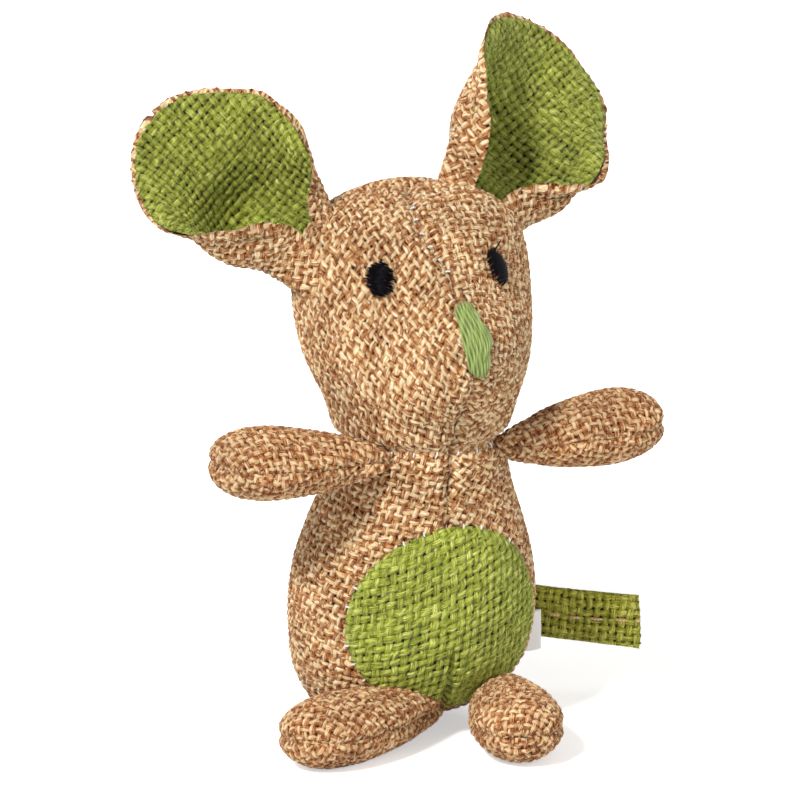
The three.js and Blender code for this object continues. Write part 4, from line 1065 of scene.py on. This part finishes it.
label_mesh.from_pydata((rows.reshape(-1, 3) * MM).tolist(), [], grid_quads(numbers.T).tolist())
label = add_piece(label_mesh, label_tape, "torso", ("care_label",))
thicken = label.modifiers.new("thickness", "SOLIDIFY")
thicken.thickness, thicken.offset = LABEL_THICK * MM, 0


def bridge(threads, place, out, way, length, high, radius=0.17):
    """A short stitch at place, lying along way and arched over a seam."""
    t = np.linspace(-0.5, 0.5, 6)[:, None]
    threads.add(place + t * length * way + out * (high + 0.35 - 1.4 * t * t), radius)


# White sewing thread that shows at the seams of the face, patch and neck
stitches = Threads("seam_stitches")
for z in (98.2, 100.1, 102.3, 104.4, 106.7, 108.5):
    t = head.row_for(np.array(z))
    p = head.point(t, face_seam(t))
    _, out = on_head(p[0], p[2])
    way = unit(np.array([1.0, 0, RNG.uniform(-0.5, 0.5)]))
    bridge(stitches, p, out, way, RNG.uniform(0.8, 1.3), -0.75, 0.22)
stitches.make(white_thread, None, "head")

FEET_TOP = 12  # below this the feet lie on the patch, and no stitch shows
stitches = Threads("patch_stitches")
for turn in np.arange(0, 2 * pi, 0.21):
    if RNG.uniform() < 0.35:
        continue
    spot = np.array([cos(turn), sin(turn)])
    p, q = patch_surface(*(0.5 + 0.497 * spot)), patch_surface(*(0.5 + 0.54 * spot))
    if p[2] >= FEET_TOP:
        out = unit(p - np.array([0, -SETBACK, p[2]]))
        bridge(stitches, p, out, unit(q - p), RNG.uniform(0.8, 1.4), 0.05, 0.2)
t = body.row_for(np.array(BODY_HEIGHT - 0.2))
for turn in np.arange(-2.9, 0.2, 0.28):
    p = body.point(t, turn)
    way = unit(np.array([RNG.uniform(-1, 1), 0, 1.5]))
    bridge(stitches, p, unit(p - np.array([0, NECK[1], p[2]])), way, RNG.uniform(1.0, 1.8), -1.1)
stitches.make(white_thread, None, "torso")

# Running stitches hold the tail's folded strap together, and a row sews it to the back
stitches = Threads("tail_stitches")
s = np.linspace(-1, 1, 6)[:, None]
arch = 0.95 - 0.4 * s * s
for face_sign in (1, -1):
    for start in np.arange(0.5, tail_last - 0.2, 0.33):
        t = np.linspace(start, start + 0.2, 6)
        p = tail_point(t, 0.06 * np.sin(3 * start) + 0 * t)
        stitches.add(p + tail_side(t) * face_sign * arch, 0.3)
for start in np.arange(-0.85, 0.9, 0.24):
    across = np.linspace(start, start + 0.15, 6)
    root = 1.0 + 0 * across
    stitches.add(tail_point(root, across) + tail_side(root) * arch, 0.2)
stitches.make(tan_thread, None, "tail")

# Two points below and above the neck, and the head's skin with its placing taken into its points

BEND = (-8.2, 3)  # how far below and above the neck the two points lie
start, end = (tuple((NECK + np.array([0, 0, rise])) * MM) for rise in BEND)
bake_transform(head_skin)

# Camera, lights and floor

SIDE, RISE = radians(23), radians(15)  # the camera looks from the toy's right and from above
right = np.array([cos(SIDE), -sin(SIDE), 0])
look = np.array([sin(SIDE) * cos(RISE), cos(SIDE) * cos(RISE), -sin(RISE)])
up = np.cross(right, look)
AIM_RIGHT, AIM_UP = -2.2, 64.4  # from the body's foot to the middle of the picture
target = np.array([0, -SETBACK, 0]) + AIM_RIGHT * right + AIM_UP * up
DISTANCE, FIELD = 4000.0, 160  # how far off the camera is, and what it sees across there
camera_data = bpy.data.cameras.new("camera")
camera = new_object("camera", camera_data)
camera_data.sensor_width = 36
camera_data.lens = camera_data.sensor_width * DISTANCE / FIELD
camera_data.clip_start, camera_data.clip_end = 0.5, 40
basis = Matrix((tuple(right), tuple(up), tuple(-look))).transposed()
camera.matrix_world = Matrix.Translation(Vector((target - look * DISTANCE) * MM)) @ basis.to_4x4()
bpy.context.scene.camera = camera


def sun(name, way, strength, soft):
    data = bpy.data.lights.new(name, "SUN")
    data.energy, data.angle = strength, radians(soft)
    new_object(name, data).rotation_euler = Vector(way).to_track_quat("-Z", "Y").to_euler()


sun("key", (0.72, 0.5, -0.8), 3.0, 10)
sun("fill", (-0.7, 0.7, -0.4), 0.6, 40)
sun("rim", (0.6, -0.9, -0.6), 0.5, 20)

# The studio looks white, and lights the toy less than it shows
WORLD_LIGHT = 0.42
world = bpy.data.worlds.new("studio")
bpy.context.scene.world = world
world.use_nodes = True
n = Nodes(world.node_tree)
rays = n.node("ShaderNodeLightPath").outputs
seen = n.most(rays["Is Camera Ray"], rays["Is Glossy Ray"])
strength = n.span(seen, 0.0, 1.0, WORLD_LIGHT, 1.0)
n.fill(n.tree.nodes["Background"], {"Color": (1, 1, 1, 1), "Strength": strength})

FLOOR_HALF, FLOOR_GLOW = 6, 0.5  # in metres, and what the camera sees besides its light
floor_mesh = bpy.data.meshes.new("floor")
corners = [(x * FLOOR_HALF, y * FLOOR_HALF, 0) for x, y in ((-1, -1), (1, -1), (1, 1), (-1, 1))]
floor_mesh.from_pydata(corners, [], [(0, 1, 2, 3)])
n = Material("pale floor")
floor_mesh.materials.append(n.look((0.9, 0.9, 0.9, 1), 0.9))
strength = n.times(n.node("ShaderNodeLightPath").outputs["Is Camera Ray"], FLOOR_GLOW)
glow = n.fill(n.node("ShaderNodeEmission"), {"Strength": strength})
both = n.fill(n.node("ShaderNodeAddShader"), (n.shader.outputs[0], glow))
n.tree.links.new(both, n.tree.nodes["Material Output"].inputs["Surface"])
new_object("floor", floor_mesh)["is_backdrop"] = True

bpy.context.scene.view_settings.view_transform = "Standard"

bpy.context.view_layer.update()
plain = lambda box: [list(map(float, corner)) for corner in box]
{"cad": plain(CAD_BOX), "visual": plain(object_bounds())}
